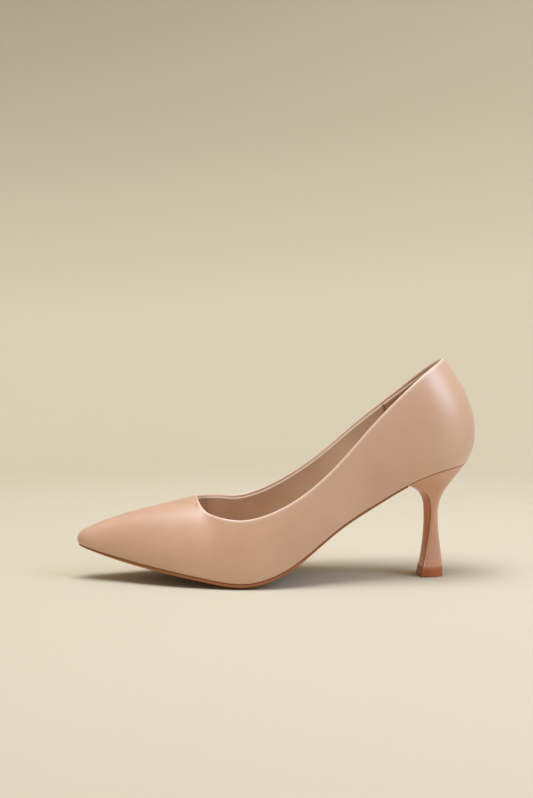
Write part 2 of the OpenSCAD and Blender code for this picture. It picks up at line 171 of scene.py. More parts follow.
class Shell:
    """A mesh under construction: grids of points, joined by quads, welded by shared numbers."""

    def __init__(self) -> None:
        """Start with no points and no faces."""
        self.points: list[np.ndarray] = []
        self.faces: list[np.ndarray] = []
        self.marks: dict[str, list[np.ndarray]] = {}
        self.count = 0

    def add(self, grid: np.ndarray, **marks: np.ndarray) -> np.ndarray:
        """Add a grid of points in millimetres.

        Args:
            grid: points, shape (..., 3).
            **marks: a number a point, such as rim=..., kept as a mesh attribute.

        Returns:
            The point numbers, in the grid's shape without its last axis.
        """
        shape = grid.shape[:-1]
        size = int(np.prod(shape))
        for name in set(self.marks) | set(marks):
            rows = self.marks.setdefault(name, [np.zeros(self.count)])
            value = marks.get(name, 0.0)
            rows.append(np.broadcast_to(np.asarray(value, float), shape).reshape(-1))
        self.points.append(grid.reshape(-1, 3))
        index = np.arange(self.count, self.count + size).reshape(shape)
        self.count += size
        return index

    def quads(self, index: np.ndarray, flip: bool = False, keep: np.ndarray | None = None) -> None:
        """Join a grid of point numbers with quads.

        A quad whose corners share a point becomes a triangle, so poles and ridges close.

        Args:
            index: point numbers, two axes.
            flip: turn the faces over.
            keep: which cells to fill, one axis shorter on both sides.
        """
        q = np.stack([index[:-1, :-1], index[1:, :-1], index[1:, 1:], index[:-1, 1:]], -1)
        q = q[keep] if keep is not None else q.reshape(-1, 4)
        self.faces.append(q[:, ::-1] if flip else q)

    def build(self, name: str, crease: float = 50.0) -> bpy.types.Object:
        """Make the object, with its place in its mesh and its faces outwards.

        Args:
            name: the object's name.
            crease: faces that meet at more than this many degrees keep a sharp edge.

        Returns:
            The new object.
        """
        points = np.concatenate(self.points) * MM
        quads = np.concatenate(self.faces)
        keep = quads != np.roll(quads, 1, axis=1)
        total = keep.sum(axis=1)
        good = total >= 3
        quads, keep, total = quads[good], keep[good], total[good]
        loops = quads[keep]
        used, loops = np.unique(loops, return_inverse=True)
        points = points[used]
        a, b, c = (points[quads_corner(loops, total, k)] for k in (0, 1, 2))
        d = points[quads_corner(loops, total, -1)]
        volume = np.einsum("ij,ij->i", a, np.cross(b, c) + np.cross(c, d)).sum()
        start = np.concatenate([[0], np.cumsum(total)[:-1]])
        if volume < 0:
            ends = np.repeat(start + total - 1, total)
            begin = np.repeat(start, total)
            loops = loops[ends - (np.arange(len(loops)) - begin)]
        mesh = bpy.data.meshes.new(name)
        mesh.vertices.add(len(points))
        mesh.vertices.foreach_set("co", points.astype(np.float32).ravel())
        mesh.loops.add(len(loops))
        mesh.loops.foreach_set("vertex_index", loops.astype(np.int32))
        mesh.polygons.add(len(total))
        mesh.polygons.foreach_set("loop_start", start.astype(np.int32))
        mesh.update(calc_edges=True)
        mesh.validate()
        for mark, rows in self.marks.items():
            layer = mesh.attributes.new(mark, "FLOAT", "POINT")
            layer.data.foreach_set("value", np.concatenate(rows)[used].astype(np.float32))
        mesh.shade_smooth()
        mesh.set_sharp_from_angle(angle=math.radians(crease))
        obj = bpy.data.objects.new(name, mesh)
        bpy.context.scene.collection.objects.link(obj)
        return obj


def quads_corner(loops: np.ndarray, total: np.ndarray, corner: int) -> np.ndarray:
    """Return one corner of each face from a packed loop list; -1 is the last corner."""
    start = np.concatenate([[0], np.cumsum(total)[:-1]])
    return loops[start + (total - 1 if corner < 0 else corner)]


# --------------------------------------------------------------------------- the last


@dataclass
class Last:
    """The form the shoe is built on, as tables at 13 stations from toe tip to heel back.

    feather_* is the edge where wall meets sole, bulge_* and brow_* are the two handles of the
    wall curve, and crown_* is the line where both walls meet over the foot.
    """

    feather_x: tuple = (-120.8, -116, -104, -86, -65, -42, -18, 8, 34, 59, 82, 102, 115.5)
    feather_z: tuple = (21.5, 20.2, 16.9, 13.1, 9.4, 5.5, 3.7, 13.6, 32.9, 48.4, 61.2, 67.6, 69.8)
    half_outer: tuple = (-2, 3.6, 8.5, 16.5, 25.5, 32.5, 36, 33, 26.5, 23, 23, 19.5, 0)
    half_inner: tuple = (2, 6.6, 11, 17.5, 25.5, 35, 35.5, 29, 21.5, 19.5, 22.5, 19.5, 0)
    dish: tuple = (0.4, 0.4, 0.6, 1, 1.5, 2, 2.1, 1.2, 0.6, 0.6, 1, 1.3, 1.4)
    bulge_x: tuple = (-122.5, -118.2, -105, -86, -65, -42, -18, 8, 34, 59.5, 84, 109, 125)
    bulge_out: tuple = (0, 1.2, 1.5, 1.8, 2, 2.5, 3, 3.5, 4, 4.5, 5.3, 5, 0)
    bulge_z: tuple = (25.5, 25.5, 26.5, 27.5, 28.5, 29.5, 20, 28, 46, 62, 76, 83, 84)
    brow_x: tuple = (-4, -3.7, -1.5, 0, 0.5, 1, 1, 2, 2, 8, 11, 20, 32)
    brow_y: tuple = (0, 4.6, 6, 9, 13.5, 17.5, 30, 33, 31, 29.5, 28, 23.5, 0)
    brow_z: tuple = (0, 0, 0, 0, 0, -3, -12, -18, -18, -15, -17, -24, -31)
    crown_x: tuple = (-116.5, -112.3, -102.5, -86, -66, -44, -20, 4, 28, 46, 68, 84, 92)
    crown_y: tuple = (2, 2, 1.8, 1.4, 0.9, 0.5, 0.3, 0, 0, 0, 0, 0, 0)
    crown_z: tuple = (30.4, 32.3, 36.3, 41.3, 46.2, 51.6, 58, 70, 86, 103, 122, 136, 143)
    spread: tuple = (0, 0, 0, 0, 0, 18, 24, 26, 26, 25, 22, 14.5, 0)
    top_outer: tuple = (1, 0.69, 0.595, 0.62, 0.65, 0.67, 0.76, 0.86, 0.90)
    top_inner: tuple = (1, 0.9, 0.78, 0.765, 0.785, 0.79, 0.795, 0.82, 0.90)
    leather: float = 1.2
    tip_pole: float = THROAT / 3
    heel_pole: float = station(23 / 28)

    def __post_init__(self) -> None:
        """Turn the tables into closed splines round the ring of stations."""
        outer, inner = np.array(self.half_outer), np.array(self.half_inner)
        out = np.array(self.bulge_out)
        self._feather = self._ring(self.feather_x, -outer, inner, self.feather_z)
        self._bulge = self._ring(self.bulge_x, -outer - out, inner + out, self.bulge_z)
        brow = np.array(self.brow_y)
        self._brow = self._ring(self.brow_x, -brow, brow, self.brow_z)
        swing = np.array(self.crown_y)
        self._crown = self._ring(self.crown_x, swing, swing, self.crown_z)
        wide, zero = np.array(self.spread), np.zeros(STATIONS + 1)
        self._spread = self._ring(zero, -wide, wide, zero)[:, 1]
        self._dish = self._ring(self.dish, zero, zero, zero)[:, 0]
        self._tops = [open_spline(t, True) for t in (self.top_outer, self.top_inner)]

    @staticmethod
    def _ring(x, y_outer, y_inner, z) -> np.ndarray:
        """Lay tables for the outer and inner sides round the ring and spline them."""
        outer = np.stack([x, y_outer, z], -1)
        inner = np.stack([x, y_inner, z], -1)
        return closed_spline(np.concatenate([outer, inner[-2:0:-1]]))

    def net(self, r: np.ndarray) -> np.ndarray:
        """Return the wall curve's four control points at ring positions r.

        Over the vamp the third point lies level with the crown line's tangent plane, so the
        two walls meet with no crease. Behind the throat the crown line opens sideways.
        """
        u = from_tip(r)
        crown, brow = spline_at(self._crown, r), spline_at(self._brow, r)
        run = spline_at(self._crown, u + 0.3) - spline_at(self._crown, np.maximum(u - 0.3, 0))
        slope = run[..., 2] / (run[..., 0] + 1e-6)
        level = 1 - ease((u - 4.5) / 1.5)
        rise = brow[..., 2] * (1 - level) + brow[..., 0] * slope * level
        third = crown + np.stack([brow[..., 0], brow[..., 1], rise], -1)
        fourth = crown.copy()
        fourth[..., 1] += spline_at(self._spread, r) * ease((u - THROAT) / 0.8)
        return np.stack(
            [spline_at(self._feather, r), spline_at(self._bulge, r), third, fourth], -2
        )

    @staticmethod
    def _bezier(net: np.ndarray, v: np.ndarray) -> np.ndarray:
        """Evaluate cubic curves: net (n, 4, 3) at shares v (n, m)."""
        v = v[..., None]
        p = [net[:, None, k] for k in range(4)]
        return (
            (1 - v) ** 3 * p[0]
            + 3 * v * (1 - v) ** 2 * p[1]
            + 3 * v * v * (1 - v) * p[2]
            + v**3 * p[3]
        )

    def wall(self, r: np.ndarray, v: np.ndarray) -> tuple[np.ndarray, np.ndarray]:
        """Return points on the outer face of the wall, and its outward normals.

        Args:
            r: ring positions, shape (n,).
            v: shares of the way up the wall curve, shape (n, m).

        Returns:
            Points and unit normals, both (n, m, 3).
        """
        points = self._bezier(self.net(r), v)
        w = np.minimum(v, 0.98)
        along = self._bezier(self.net(r + 0.002), w) - self._bezier(self.net(r - 0.002), w)
        up = self._bezier(self.net(r), w + 0.002) - self._bezier(self.net(r), w - 0.002)
        normal = unit(np.cross(along, up))
        ridge = (from_tip(r)[:, None] <= THROAT + TOUCH) & (v > 0.999)
        level = unit(normal * np.array([1.0, 0.0, 1.0]))
        return points, np.where(ridge[..., None], level, normal)

    def thinning(self, r: np.ndarray, v: np.ndarray) -> np.ndarray:
        """Return the share of a layer's depth kept at the skived toe tip, 1 elsewhere."""
        tip = 1 - ease(from_tip(r) / 1.3)[:, None]
        return 1 - tip * (0.25 + 0.35 * v * v)

    def layer(self, r: np.ndarray, v: np.ndarray, depth) -> np.ndarray:
        """Return wall points sunk below the outer face.

        Args:
            r: ring positions, shape (n,).
            v: shares up the wall, shape (n, m).
            depth: millimetres below the outer face, a number or an array (n, m).
        """
        points, normal = self.wall(r, v)
        return points - normal * (depth * self.thinning(r, v))[..., None]

    def top(self, r: np.ndarray) -> np.ndarray:
        """Return the share of the wall curve at which the topline cuts it, 1 on the vamp."""
        u = from_tip(r)
        q = np.sqrt(np.maximum((u - THROAT) / (STATIONS - THROAT), 0))
        outer, inner = (spline_at(t, 8 + 8 * q) for t in self._tops)
        cut = np.where(np.asarray(r) % RING <= STATIONS, outer, inner)
        return np.where(u <= THROAT + TOUCH, 1.0, cut)

    def foot(self, r: np.ndarray) -> np.ndarray:
        """Return the share of the wall curve that clears the lasting margin's thickness."""
        net = self.net(r)
        return self.leather / 3 / (net[..., 1, 2] - net[..., 0, 2])

    def spine(self, u: np.ndarray) -> np.ndarray:
        """Return the middle line of the bottom at stations u, held inside both poles."""
        w = np.clip(u, self.tip_pole, self.heel_pole)
        middle = (spline_at(self._feather, w) + spline_at(self._feather, RING - w)) / 2
        middle[..., 2] -= spline_at(self._dish, w)
        return middle

    def reach(self, r: np.ndarray) -> np.ndarray:
        """Return the distance in plan from the feather edge to the middle line."""
        gap = spline_at(self._feather, r) - self.spine(from_tip(r))
        return np.linalg.norm(gap[..., :2], axis=-1)

    def bed(self, r: np.ndarray, share: np.ndarray, lift) -> np.ndarray:
        """Return points over the bottom of the last.

        A ray runs from the feather edge to the middle line; its height falls along a
        parabola, so the bottom is dished and flat in the middle.

        Args:
            r: ring positions, shape (n,).
            share: share of the way in to the middle, shape (n, m).
            lift: millimetres above the underside of the lasted upper.
        """
        edge = spline_at(self._feather, r)[:, None]
        middle = self.spine(from_tip(r))[:, None]
        f = share[..., None]
        points = edge + (middle - edge) * f
        drop = (middle - edge)[..., 2] * (1 - (1 - share) ** 2)
        points[..., 2] = edge[..., 2] + drop + lift
        return points


def ring_columns(per_side: int, per_vamp: int, seam: tuple[float, ...] = ()) -> np.ndarray:
    """Return ring positions round the whole last, dense beside the throat.

    From tip to throat they are even, and behind it they follow station().

    Args:
        per_side: columns from tip to heel back.
        per_vamp: columns from tip to throat.
        seam: extra distances from the heel back, in stations.
    """
    front = np.linspace(0, THROAT, per_vamp + 1)
    s = np.linspace(0, 1, per_side - per_vamp + 1)[1:]
    back = station(s)
    extra = STATIONS - np.array(seam)
    if seam:
        back = back[(back < extra.min() - 0.02) | (back == STATIONS)]
    side = np.sort(np.concatenate([front, back, extra]))
    return np.concatenate([side, RING - side[-2:0:-1]])


WALL_COLUMNS = ring_columns(170, 56, (0.016, 0.034, 0.055, 0.085, 0.13, 0.18))


# --------------------------------------------------------------------------- finishes


class Nodes:
    """A small helper that places and joins shader nodes in a tree."""

    def __init__(self, tree: bpy.types.NodeTree) -> None:
        """Hold the tree that nodes are added to."""
        self.tree = tree

    def add(self, kind: str, inputs: dict | None = None, **props) -> bpy.types.Node:
        """Add a node, set its properties and feed its inputs.

        Args:
            kind: Blender's node type name.
            inputs: socket name or number to a value or another node's output.
            **props: node properties.

        Returns:
            The new node.
        """
        node = self.tree.nodes.new(kind)
        for key, value in props.items():
            setattr(node, key, value)
        return self.feed(node, inputs or {})

    def feed(self, node: bpy.types.Node, inputs: dict) -> bpy.types.Node:
        """Join or set a node's inputs, by socket name or number, and return the node."""
        for key, value in inputs.items():
            if isinstance(value, bpy.types.NodeSocket):
                self.tree.links.new(value, node.inputs[key])
            else:
                node.inputs[key].default_value = value
        return node

    def math(self, operation: str, a, b=0.0, clamp: bool = False) -> bpy.types.NodeSocket:
        """Add a Math node and return its result."""
        node = self.add("ShaderNodeMath", {0: a, 1: b}, operation=operation, use_clamp=clamp)
        return node.outputs[0]

    def mix(self, factor, a, b) -> bpy.types.NodeSocket:
        """Mix two colours and return the result."""
        node = self.add("ShaderNodeMix", {0: factor, 6: a, 7: b}, data_type="RGBA")
        return node.outputs[2]

    def noise(self, place, scale, detail: float) -> bpy.types.Node:
        """Add a noise texture."""
        return self.add("ShaderNodeTexNoise", {"Vector": place, "Scale": scale, "Detail": detail})

    def mark(self, mark: Mark) -> bpy.types.NodeSocket:
        """Read one of the surface marks."""
        return self.add("ShaderNodeAttribute", attribute_name=mark.value).outputs["Fac"]

    def bump(self, height, strength: float, distance: float) -> bpy.types.NodeSocket:
        """Turn a height into a bent normal, with its depth in millimetres."""
        inputs = {"Height": height, "Strength": strength, "Distance": distance * MM}
        return self.add("ShaderNodeBump", inputs).outputs[0]

    def ramp(self, factor, stops: list[tuple[float, float]]) -> bpy.types.NodeSocket:
        """Map a factor through grey stops (place, value) and return the grey."""
        node = self.add("ShaderNodeValToRGB", {0: factor})
        ramp = node.color_ramp
        ramp.elements[0].position, ramp.elements[1].position = stops[0][0], stops[-1][0]
        for place, _ in stops[1:-1]:
            ramp.elements.new(place)
        for element, (_, grey) in zip(ramp.elements, stops):
            element.color = (grey, grey, grey, 1)
        return node.outputs[0]


def group_tree(name: str, inputs: list[tuple], outputs: list[tuple]) -> tuple[Nodes, dict, dict]:
    """Start a shader node group.

    Args:
        name: the group's name.
        inputs: (name, socket kind, default or None) for each input.
        outputs: (name, socket kind) for each output.

    Returns:
        The node helper, the input sockets by name, and the output sockets by name.
    """
    tree = bpy.data.node_groups.new(name, "ShaderNodeTree")
    for label, kind, default in inputs:
        socket = tree.interface.new_socket(label, in_out="INPUT", socket_type=kind)
        if default is not None:
            socket.default_value = default
    for label, kind in outputs:
        tree.interface.new_socket(label, in_out="OUTPUT", socket_type=kind)
    nodes = Nodes(tree)
    source = nodes.add("NodeGroupInput").outputs
    sink = nodes.add("NodeGroupOutput").inputs
    return (
        nodes,
        {label: source[label] for label, _, _ in inputs},
        {label: sink[label] for label, _ in outputs},
    )


VECTOR, FLOAT, COLOUR = "NodeSocketVector", "NodeSocketFloat", "NodeSocketColor"


class Effects:
    """The shader node groups that several finishes share, each made once."""

    def __init__(self) -> None:
        """Make every group."""
        self.grain = self._grain()
        self.mottle = self._mottle()
        self.rim = self._rim()
        self.dust = self._dust()
        self.weave = self._weave()

    @staticmethod
    def _grain() -> bpy.types.NodeTree:
        """Pebbled hide: rounded cells with fine creases between them, and soft pores."""
        n, src, out = group_tree(
            "hide_grain",
            [("Vector", VECTOR, None), ("Cells", FLOAT, 1400.0), ("Pores", FLOAT, 0.3)],
            [("Height", FLOAT), ("Crease", FLOAT)],
        )
        noise = n.noise(src["Vector"], 260.0, 2.0)
        bend = n.add("ShaderNodeVectorMath", {0: noise.outputs["Color"]}, operation="SCALE")
        bend.inputs["Scale"].default_value = 0.0012
        place = n.add("ShaderNodeVectorMath", {0: src["Vector"], 1: bend.outputs[0]})
        cells = n.add(
            "ShaderNodeTexVoronoi",
            {"Vector": place.outputs[0], "Scale": src["Cells"]},
            feature="DISTANCE_TO_EDGE",
        )
        crease = n.ramp(cells.outputs["Distance"], [(0.0, 1.0), (0.07, 0.45), (0.22, 0.0)])
        pore = n.noise(src["Vector"], 2600.0, 1.0)
        pits = n.math("MULTIPLY", pore.outputs["Fac"], src["Pores"])
        flat = n.math("SUBTRACT", 1.0, crease)
        n.tree.links.new(n.math("SUBTRACT", flat, pits), out["Height"])
        n.tree.links.new(crease, out["Crease"])
        return n.tree

    @staticmethod
    def _mottle() -> bpy.types.NodeTree:
        """Slow cloudy change of tone between two colours, with a finer speckle over it."""
        n, src, out = group_tree(
            "cloudy_tone",
            [
                ("Vector", VECTOR, None),
                ("Light", COLOUR, (1, 1, 1, 1)),
                ("Deep", COLOUR, (0.5, 0.5, 0.5, 1)),
                ("Size", FLOAT, 35.0),
                ("Speckle", FLOAT, 0.2),
            ],
            [("Color", COLOUR), ("Cloud", FLOAT)],
        )
        big = n.noise(src["Vector"], src["Size"], 3.0)
        fine = n.noise(src["Vector"], 900.0, 2.0)
        cloud = n.ramp(big.outputs["Fac"], [(0.32, 0.0), (0.68, 1.0)])
        spot = n.math("SUBTRACT", fine.outputs["Fac"], 0.5)
        both = n.math("ADD", cloud, n.math("MULTIPLY", spot, src["Speckle"]), clamp=True)
        n.tree.links.new(n.mix(both, src["Light"], src["Deep"]), out["Color"])
        n.tree.links.new(both, out["Cloud"])
        return n.tree

    @staticmethod
    def _rim() -> bpy.types.NodeTree:
        """Edge tone: a surface mark, broken up by noise, that pulls a colour towards another."""
        n, src, out = group_tree(
            "edge_tone",
            [
                ("Vector", VECTOR, None),
                ("Mark", FLOAT, 0.0),
                ("Base", COLOUR, (1, 1, 1, 1)),
                ("Edge", COLOUR, (1, 1, 1, 1)),
                ("Amount", FLOAT, 1.0),
                ("Break", FLOAT, 0.3),
            ],
            [("Color", COLOUR)],
        )
        noise = n.noise(src["Vector"], 420.0, 3.0)
        rough = n.math("MULTIPLY", n.math("SUBTRACT", noise.outputs["Fac"], 0.5), src["Break"])
        lifted = n.math("ADD", src["Mark"], n.math("MULTIPLY", rough, src["Mark"]), clamp=True)
        mask = n.math("MULTIPLY", lifted, src["Amount"], clamp=True)
        n.tree.links.new(n.mix(mask, src["Base"], src["Edge"]), out["Color"])
        return n.tree

    @staticmethod
    def _dust() -> bpy.types.NodeTree:
        """Scuffs and settled dust: sparse blotches that grow where the surface is rubbed."""
        n, src, out = group_tree(
            "scuff_dust",
            [("Vector", VECTOR, None), ("Rub", FLOAT, 0.0), ("Size", FLOAT, 180.0)],
            [("Mask", FLOAT)],
        )
        noise = n.noise(src["Vector"], src["Size"], 5.0)
        spots = n.ramp(noise.outputs["Fac"], [(0.5, 0.0), (0.75, 1.0)])
        n.tree.links.new(n.math("MULTIPLY", spots, src["Rub"], clamp=True), out["Mask"])
        return n.tree

    @staticmethod
    def _weave() -> bpy.types.NodeTree:
        """Plain weave: two crossed rows of rounded threads."""
        n, src, out = group_tree(
            "plain_weave",
            [("Vector", VECTOR, None), ("Threads", FLOAT, 1800.0)],
            [("Height", FLOAT)],
        )
        place = n.add("ShaderNodeSeparateXYZ", {0: src["Vector"]})
        rows = []
        for name in ("X", "Z"):
            turn = n.math("MULTIPLY", place.outputs[name], src["Threads"])
            rows.append(n.math("ABSOLUTE", n.math("SINE", turn)))
        n.tree.links.new(n.math("MULTIPLY", rows[0], rows[1]), out["Height"])
        return n.tree

    @staticmethod
    def place(nodes: Nodes, tree: bpy.types.NodeTree, inputs: dict) -> bpy.types.Node:
        """Put one of the groups into a material, with its own values."""
        return nodes.add("ShaderNodeGroup", inputs, node_tree=tree)


def rgba(hexes: str) -> tuple[float, float, float, float]:
    """Turn an sRGB hex colour into linear RGBA."""
    parts = [int(hexes[k : k + 2], 16) / 255 for k in (0, 2, 4)]
    linear = [c / 12.92 if c <= 0.04045 else ((c + 0.055) / 1.055) ** 2.4 for c in parts]
    return (*linear, 1.0)


@dataclass(frozen=True)
class Hide:
    """Leather: cloudy tone, fine grain, a pale rim of painted highlight, darker seams, and painted
    shade in crevices and in the grain's creases.
    """

    name: str
    light: str
    deep: str
    # rim is the colour of the painted highlight along edges; seam is the colour of dark seams and
    # of painted shade in crevices.
    rim: str
    seam: str
    rough: float = 0.4
    cells: float = 1500.0
    pores: float = 0.3
    relief: float = 0.02
    coat: float = 0.0
    coat_rough: float = 0.3
    sheen: float = 0.0
    specular: float = 0.5
    highlight_amount: float = 0.8

    def material(self, fx: Effects) -> bpy.types.Material:
        """Build the node tree of this leather."""
        mat, n, shader, place = start_material(self.name)
        tone = fx.place(
            n,
            fx.mottle,
            {"Vector": place, "Light": rgba(self.light), "Deep": rgba(self.deep), "Size": 30.0},
        )
        # Painted highlight: the rim mark pulls the tone towards the pale rim colour where an edge
        # catches the light.
        rim = n.mark(Mark.RIM_AND_HIGHLIGHT)
        edged = fx.place(
            n,
            fx.rim,
            {
                "Vector": place,
                "Mark": rim,
                "Base": tone.outputs["Color"],
                "Edge": rgba(self.rim),
                "Amount": self.highlight_amount,
            },
        )
        # Dark seams, and painted shade where the seam mark lies in a crevice.
        seam = n.mark(Mark.SEAM_AND_SHADE)
        seamed = fx.place(
            n,
            fx.rim,
            {
                "Vector": place,
                "Mark": seam,
                "Base": edged.outputs["Color"],
                "Edge": rgba(self.seam),
                "Break": 0.15,
            },
        )
        grain = fx.place(n, fx.grain, {"Vector": place, "Cells": self.cells, "Pores": self.pores})
        shade = n.math("MULTIPLY", grain.outputs["Crease"], 0.10)
        colour = n.mix(shade, seamed.outputs["Color"], rgba(self.seam))
        rub = n.mark(Mark.RUB)
        scuff = fx.place(n, fx.dust, {"Vector": place, "Rub": rub})
        wander = n.math("MULTIPLY", tone.outputs["Cloud"], 0.06)
        rough = n.math("ADD", self.rough, wander)
        rough = n.math("ADD", rough, n.math("MULTIPLY", seam, 0.2))
        rough = n.math("ADD", rough, n.math("MULTIPLY", scuff.outputs["Mask"], 0.25), clamp=True)
        n.feed(
            shader,
            {
                "Base Color": colour,
                "Roughness": rough,
                "Normal": n.bump(grain.outputs["Height"], 0.35, self.relief),
                "Coat Weight": self.coat,
                "Coat Roughness": self.coat_rough,
                "Sheen Weight": self.sheen,
                "Specular IOR Level": self.specular,
            },
        )
        return mat


@dataclass(frozen=True)
class Stock:
    """Plain sheet or moulded stock: board, cloth, felt, foam, plastic, rubber and steel."""

    name: str
    light: str
    deep: str
    rough: float = 0.7
    relief: float = 0.05
    cells: float = 900.0
    woven: float = 0.0
    metal: float = 0.0
    edge: str = ""
    specular: float = 0.4

    def material(self, fx: Effects) -> bpy.types.Material:
        """Build the node tree of this stock."""
        mat, n, shader, place = start_material(self.name)
        tone = fx.place(
            n,
            fx.mottle,
            {
                "Vector": place,
                "Light": rgba(self.light),
                "Deep": rgba(self.deep),
                "Size": 120.0,
                "Speckle": 0.6,
            },
        )
        colour = tone.outputs["Color"]
        rim = n.mark(Mark.RIM_AND_HIGHLIGHT)
        if self.edge:
            edged = fx.place(
                n,
                fx.rim,
                {
                    "Vector": place,
                    "Mark": rim,
                    "Base": colour,
                    "Edge": rgba(self.edge),
                },
            )
            colour = edged.outputs["Color"]
        rub = n.mark(Mark.RUB)
        scuff = fx.place(n, fx.dust, {"Vector": place, "Rub": rub, "Size": 260.0})
        colour = n.mix(scuff.outputs["Mask"], colour, rgba(self.light))
        rough = n.math("ADD", self.rough, n.math("MULTIPLY", tone.outputs["Cloud"], 0.08))
        if self.woven:
            pattern = fx.place(n, fx.weave, {"Vector": place, "Threads": self.woven})
        else:
            pattern = fx.place(n, fx.grain, {"Vector": place, "Cells": self.cells, "Pores": 0.8})
        n.feed(
            shader,
            {
                "Base Color": colour,
                "Roughness": rough,
                "Metallic": self.metal,
                "Specular IOR Level": self.specular,
                "Normal": n.bump(pattern.outputs["Height"], 0.5, self.relief),
            },
        )
        return mat


def start_material(name: str) -> tuple:
    """Make a material with an empty Principled BSDF.

    Returns:
        The material, its node helper, the shader node, and the Object coordinate socket.
    """
    mat = bpy.data.materials.new(name)
    mat.use_nodes = True
    mat.node_tree.nodes.clear()
    n = Nodes(mat.node_tree)
    shader = n.add("ShaderNodeBsdfPrincipled")
    sink = n.add("ShaderNodeOutputMaterial")
    n.tree.links.new(shader.outputs[0], sink.inputs[0])
    place = n.add("ShaderNodeTexCoord").outputs["Object"]
    return mat, n, shader, place


class Wardrobe:
    """Every finish of the shoe, built once and handed out by name."""

    FINISHES = (
        Hide(
            "nude_leather", "d0a68a", "c79c80", "e2c5b2", "8f6248",
            rough=0.38, coat=0.7, coat_rough=0.32, specular=0.6, relief=0.02,
        ),
        Hide(
            "heel_leather", "d0997a", "c58e72", "dcb8a3", "96644a",
            rough=0.38, coat=0.30, coat_rough=0.30, specular=0.6, relief=0.02,
        ),
        Hide(
            "breast_leather", "db936a", "cf855c", "e0c8b2", "8f5836",
            rough=0.4, coat=0.08, relief=0.02,
        ),
        Hide(
            "lining_leather", "cfae92", "c29f83", "eedac6", "7a5236",
            rough=0.62, relief=0.04, cells=1100.0, pores=0.7, specular=0.3, highlight_amount=1.0,
        ),
        Hide(
            "grip_leather", "b98f6c", "ab815f", "eedac6", "7a5236",
            rough=0.8, relief=0.05, cells=2200.0, pores=1.0, sheen=0.15, specular=0.2,
            highlight_amount=1.0,
        ),
        Hide(
            "sock_leather", "e0c6b2", "d5b8a2", "e8d3c1", "7a5236",
            rough=0.58, relief=0.04, cells=1100.0, pores=0.6, specular=0.3,
        ),
        Stock("sole_stock", "8a5230", "774426", rough=0.55, relief=0.06, edge="a4643a"),
        Stock("top_piece_rubber", "ab6336", "9a552c", rough=0.5, relief=0.05, edge="b56c3e"),
        Stock("tape_cloth", "e6e0d2", "d8d0c0", rough=0.85, woven=5200.0, relief=0.1),
        Stock("backing_cloth", "ddd2bd", "cfc3ac", rough=0.9, woven=4200.0, relief=0.1),
        Stock("stiffener_sheet", "b59a72", "a58a62", rough=0.6),
        Stock("board_stock", "9b7348", "86623c", rough=0.85, relief=0.1),
        Stock("latex_foam", "d9c98f", "cbb97c", rough=0.9, cells=2600.0, relief=0.2),
        Stock("felt_stock", "7f7260", "6d6152", rough=0.95, cells=3200.0, relief=0.2),
        Stock("plain_steel", "b9babd", "a7a8ab", rough=0.32, metal=1.0, relief=0.01),
        Stock("moulded_plastic", "d8cbb0", "cfc1a5", rough=0.45, relief=0.03),
    )

    def __init__(self) -> None:
        """Build every material."""
        fx = Effects()
        self.materials = {f.name: f.material(fx) for f in self.FINISHES}

    def dress(self, obj: bpy.types.Object, finish: str) -> None:
        """Give an object one finish, in place of any it has."""
        obj.data.materials.clear()
        obj.data.materials.append(self.materials[finish])


# --------------------------------------------------------------------------- the upper


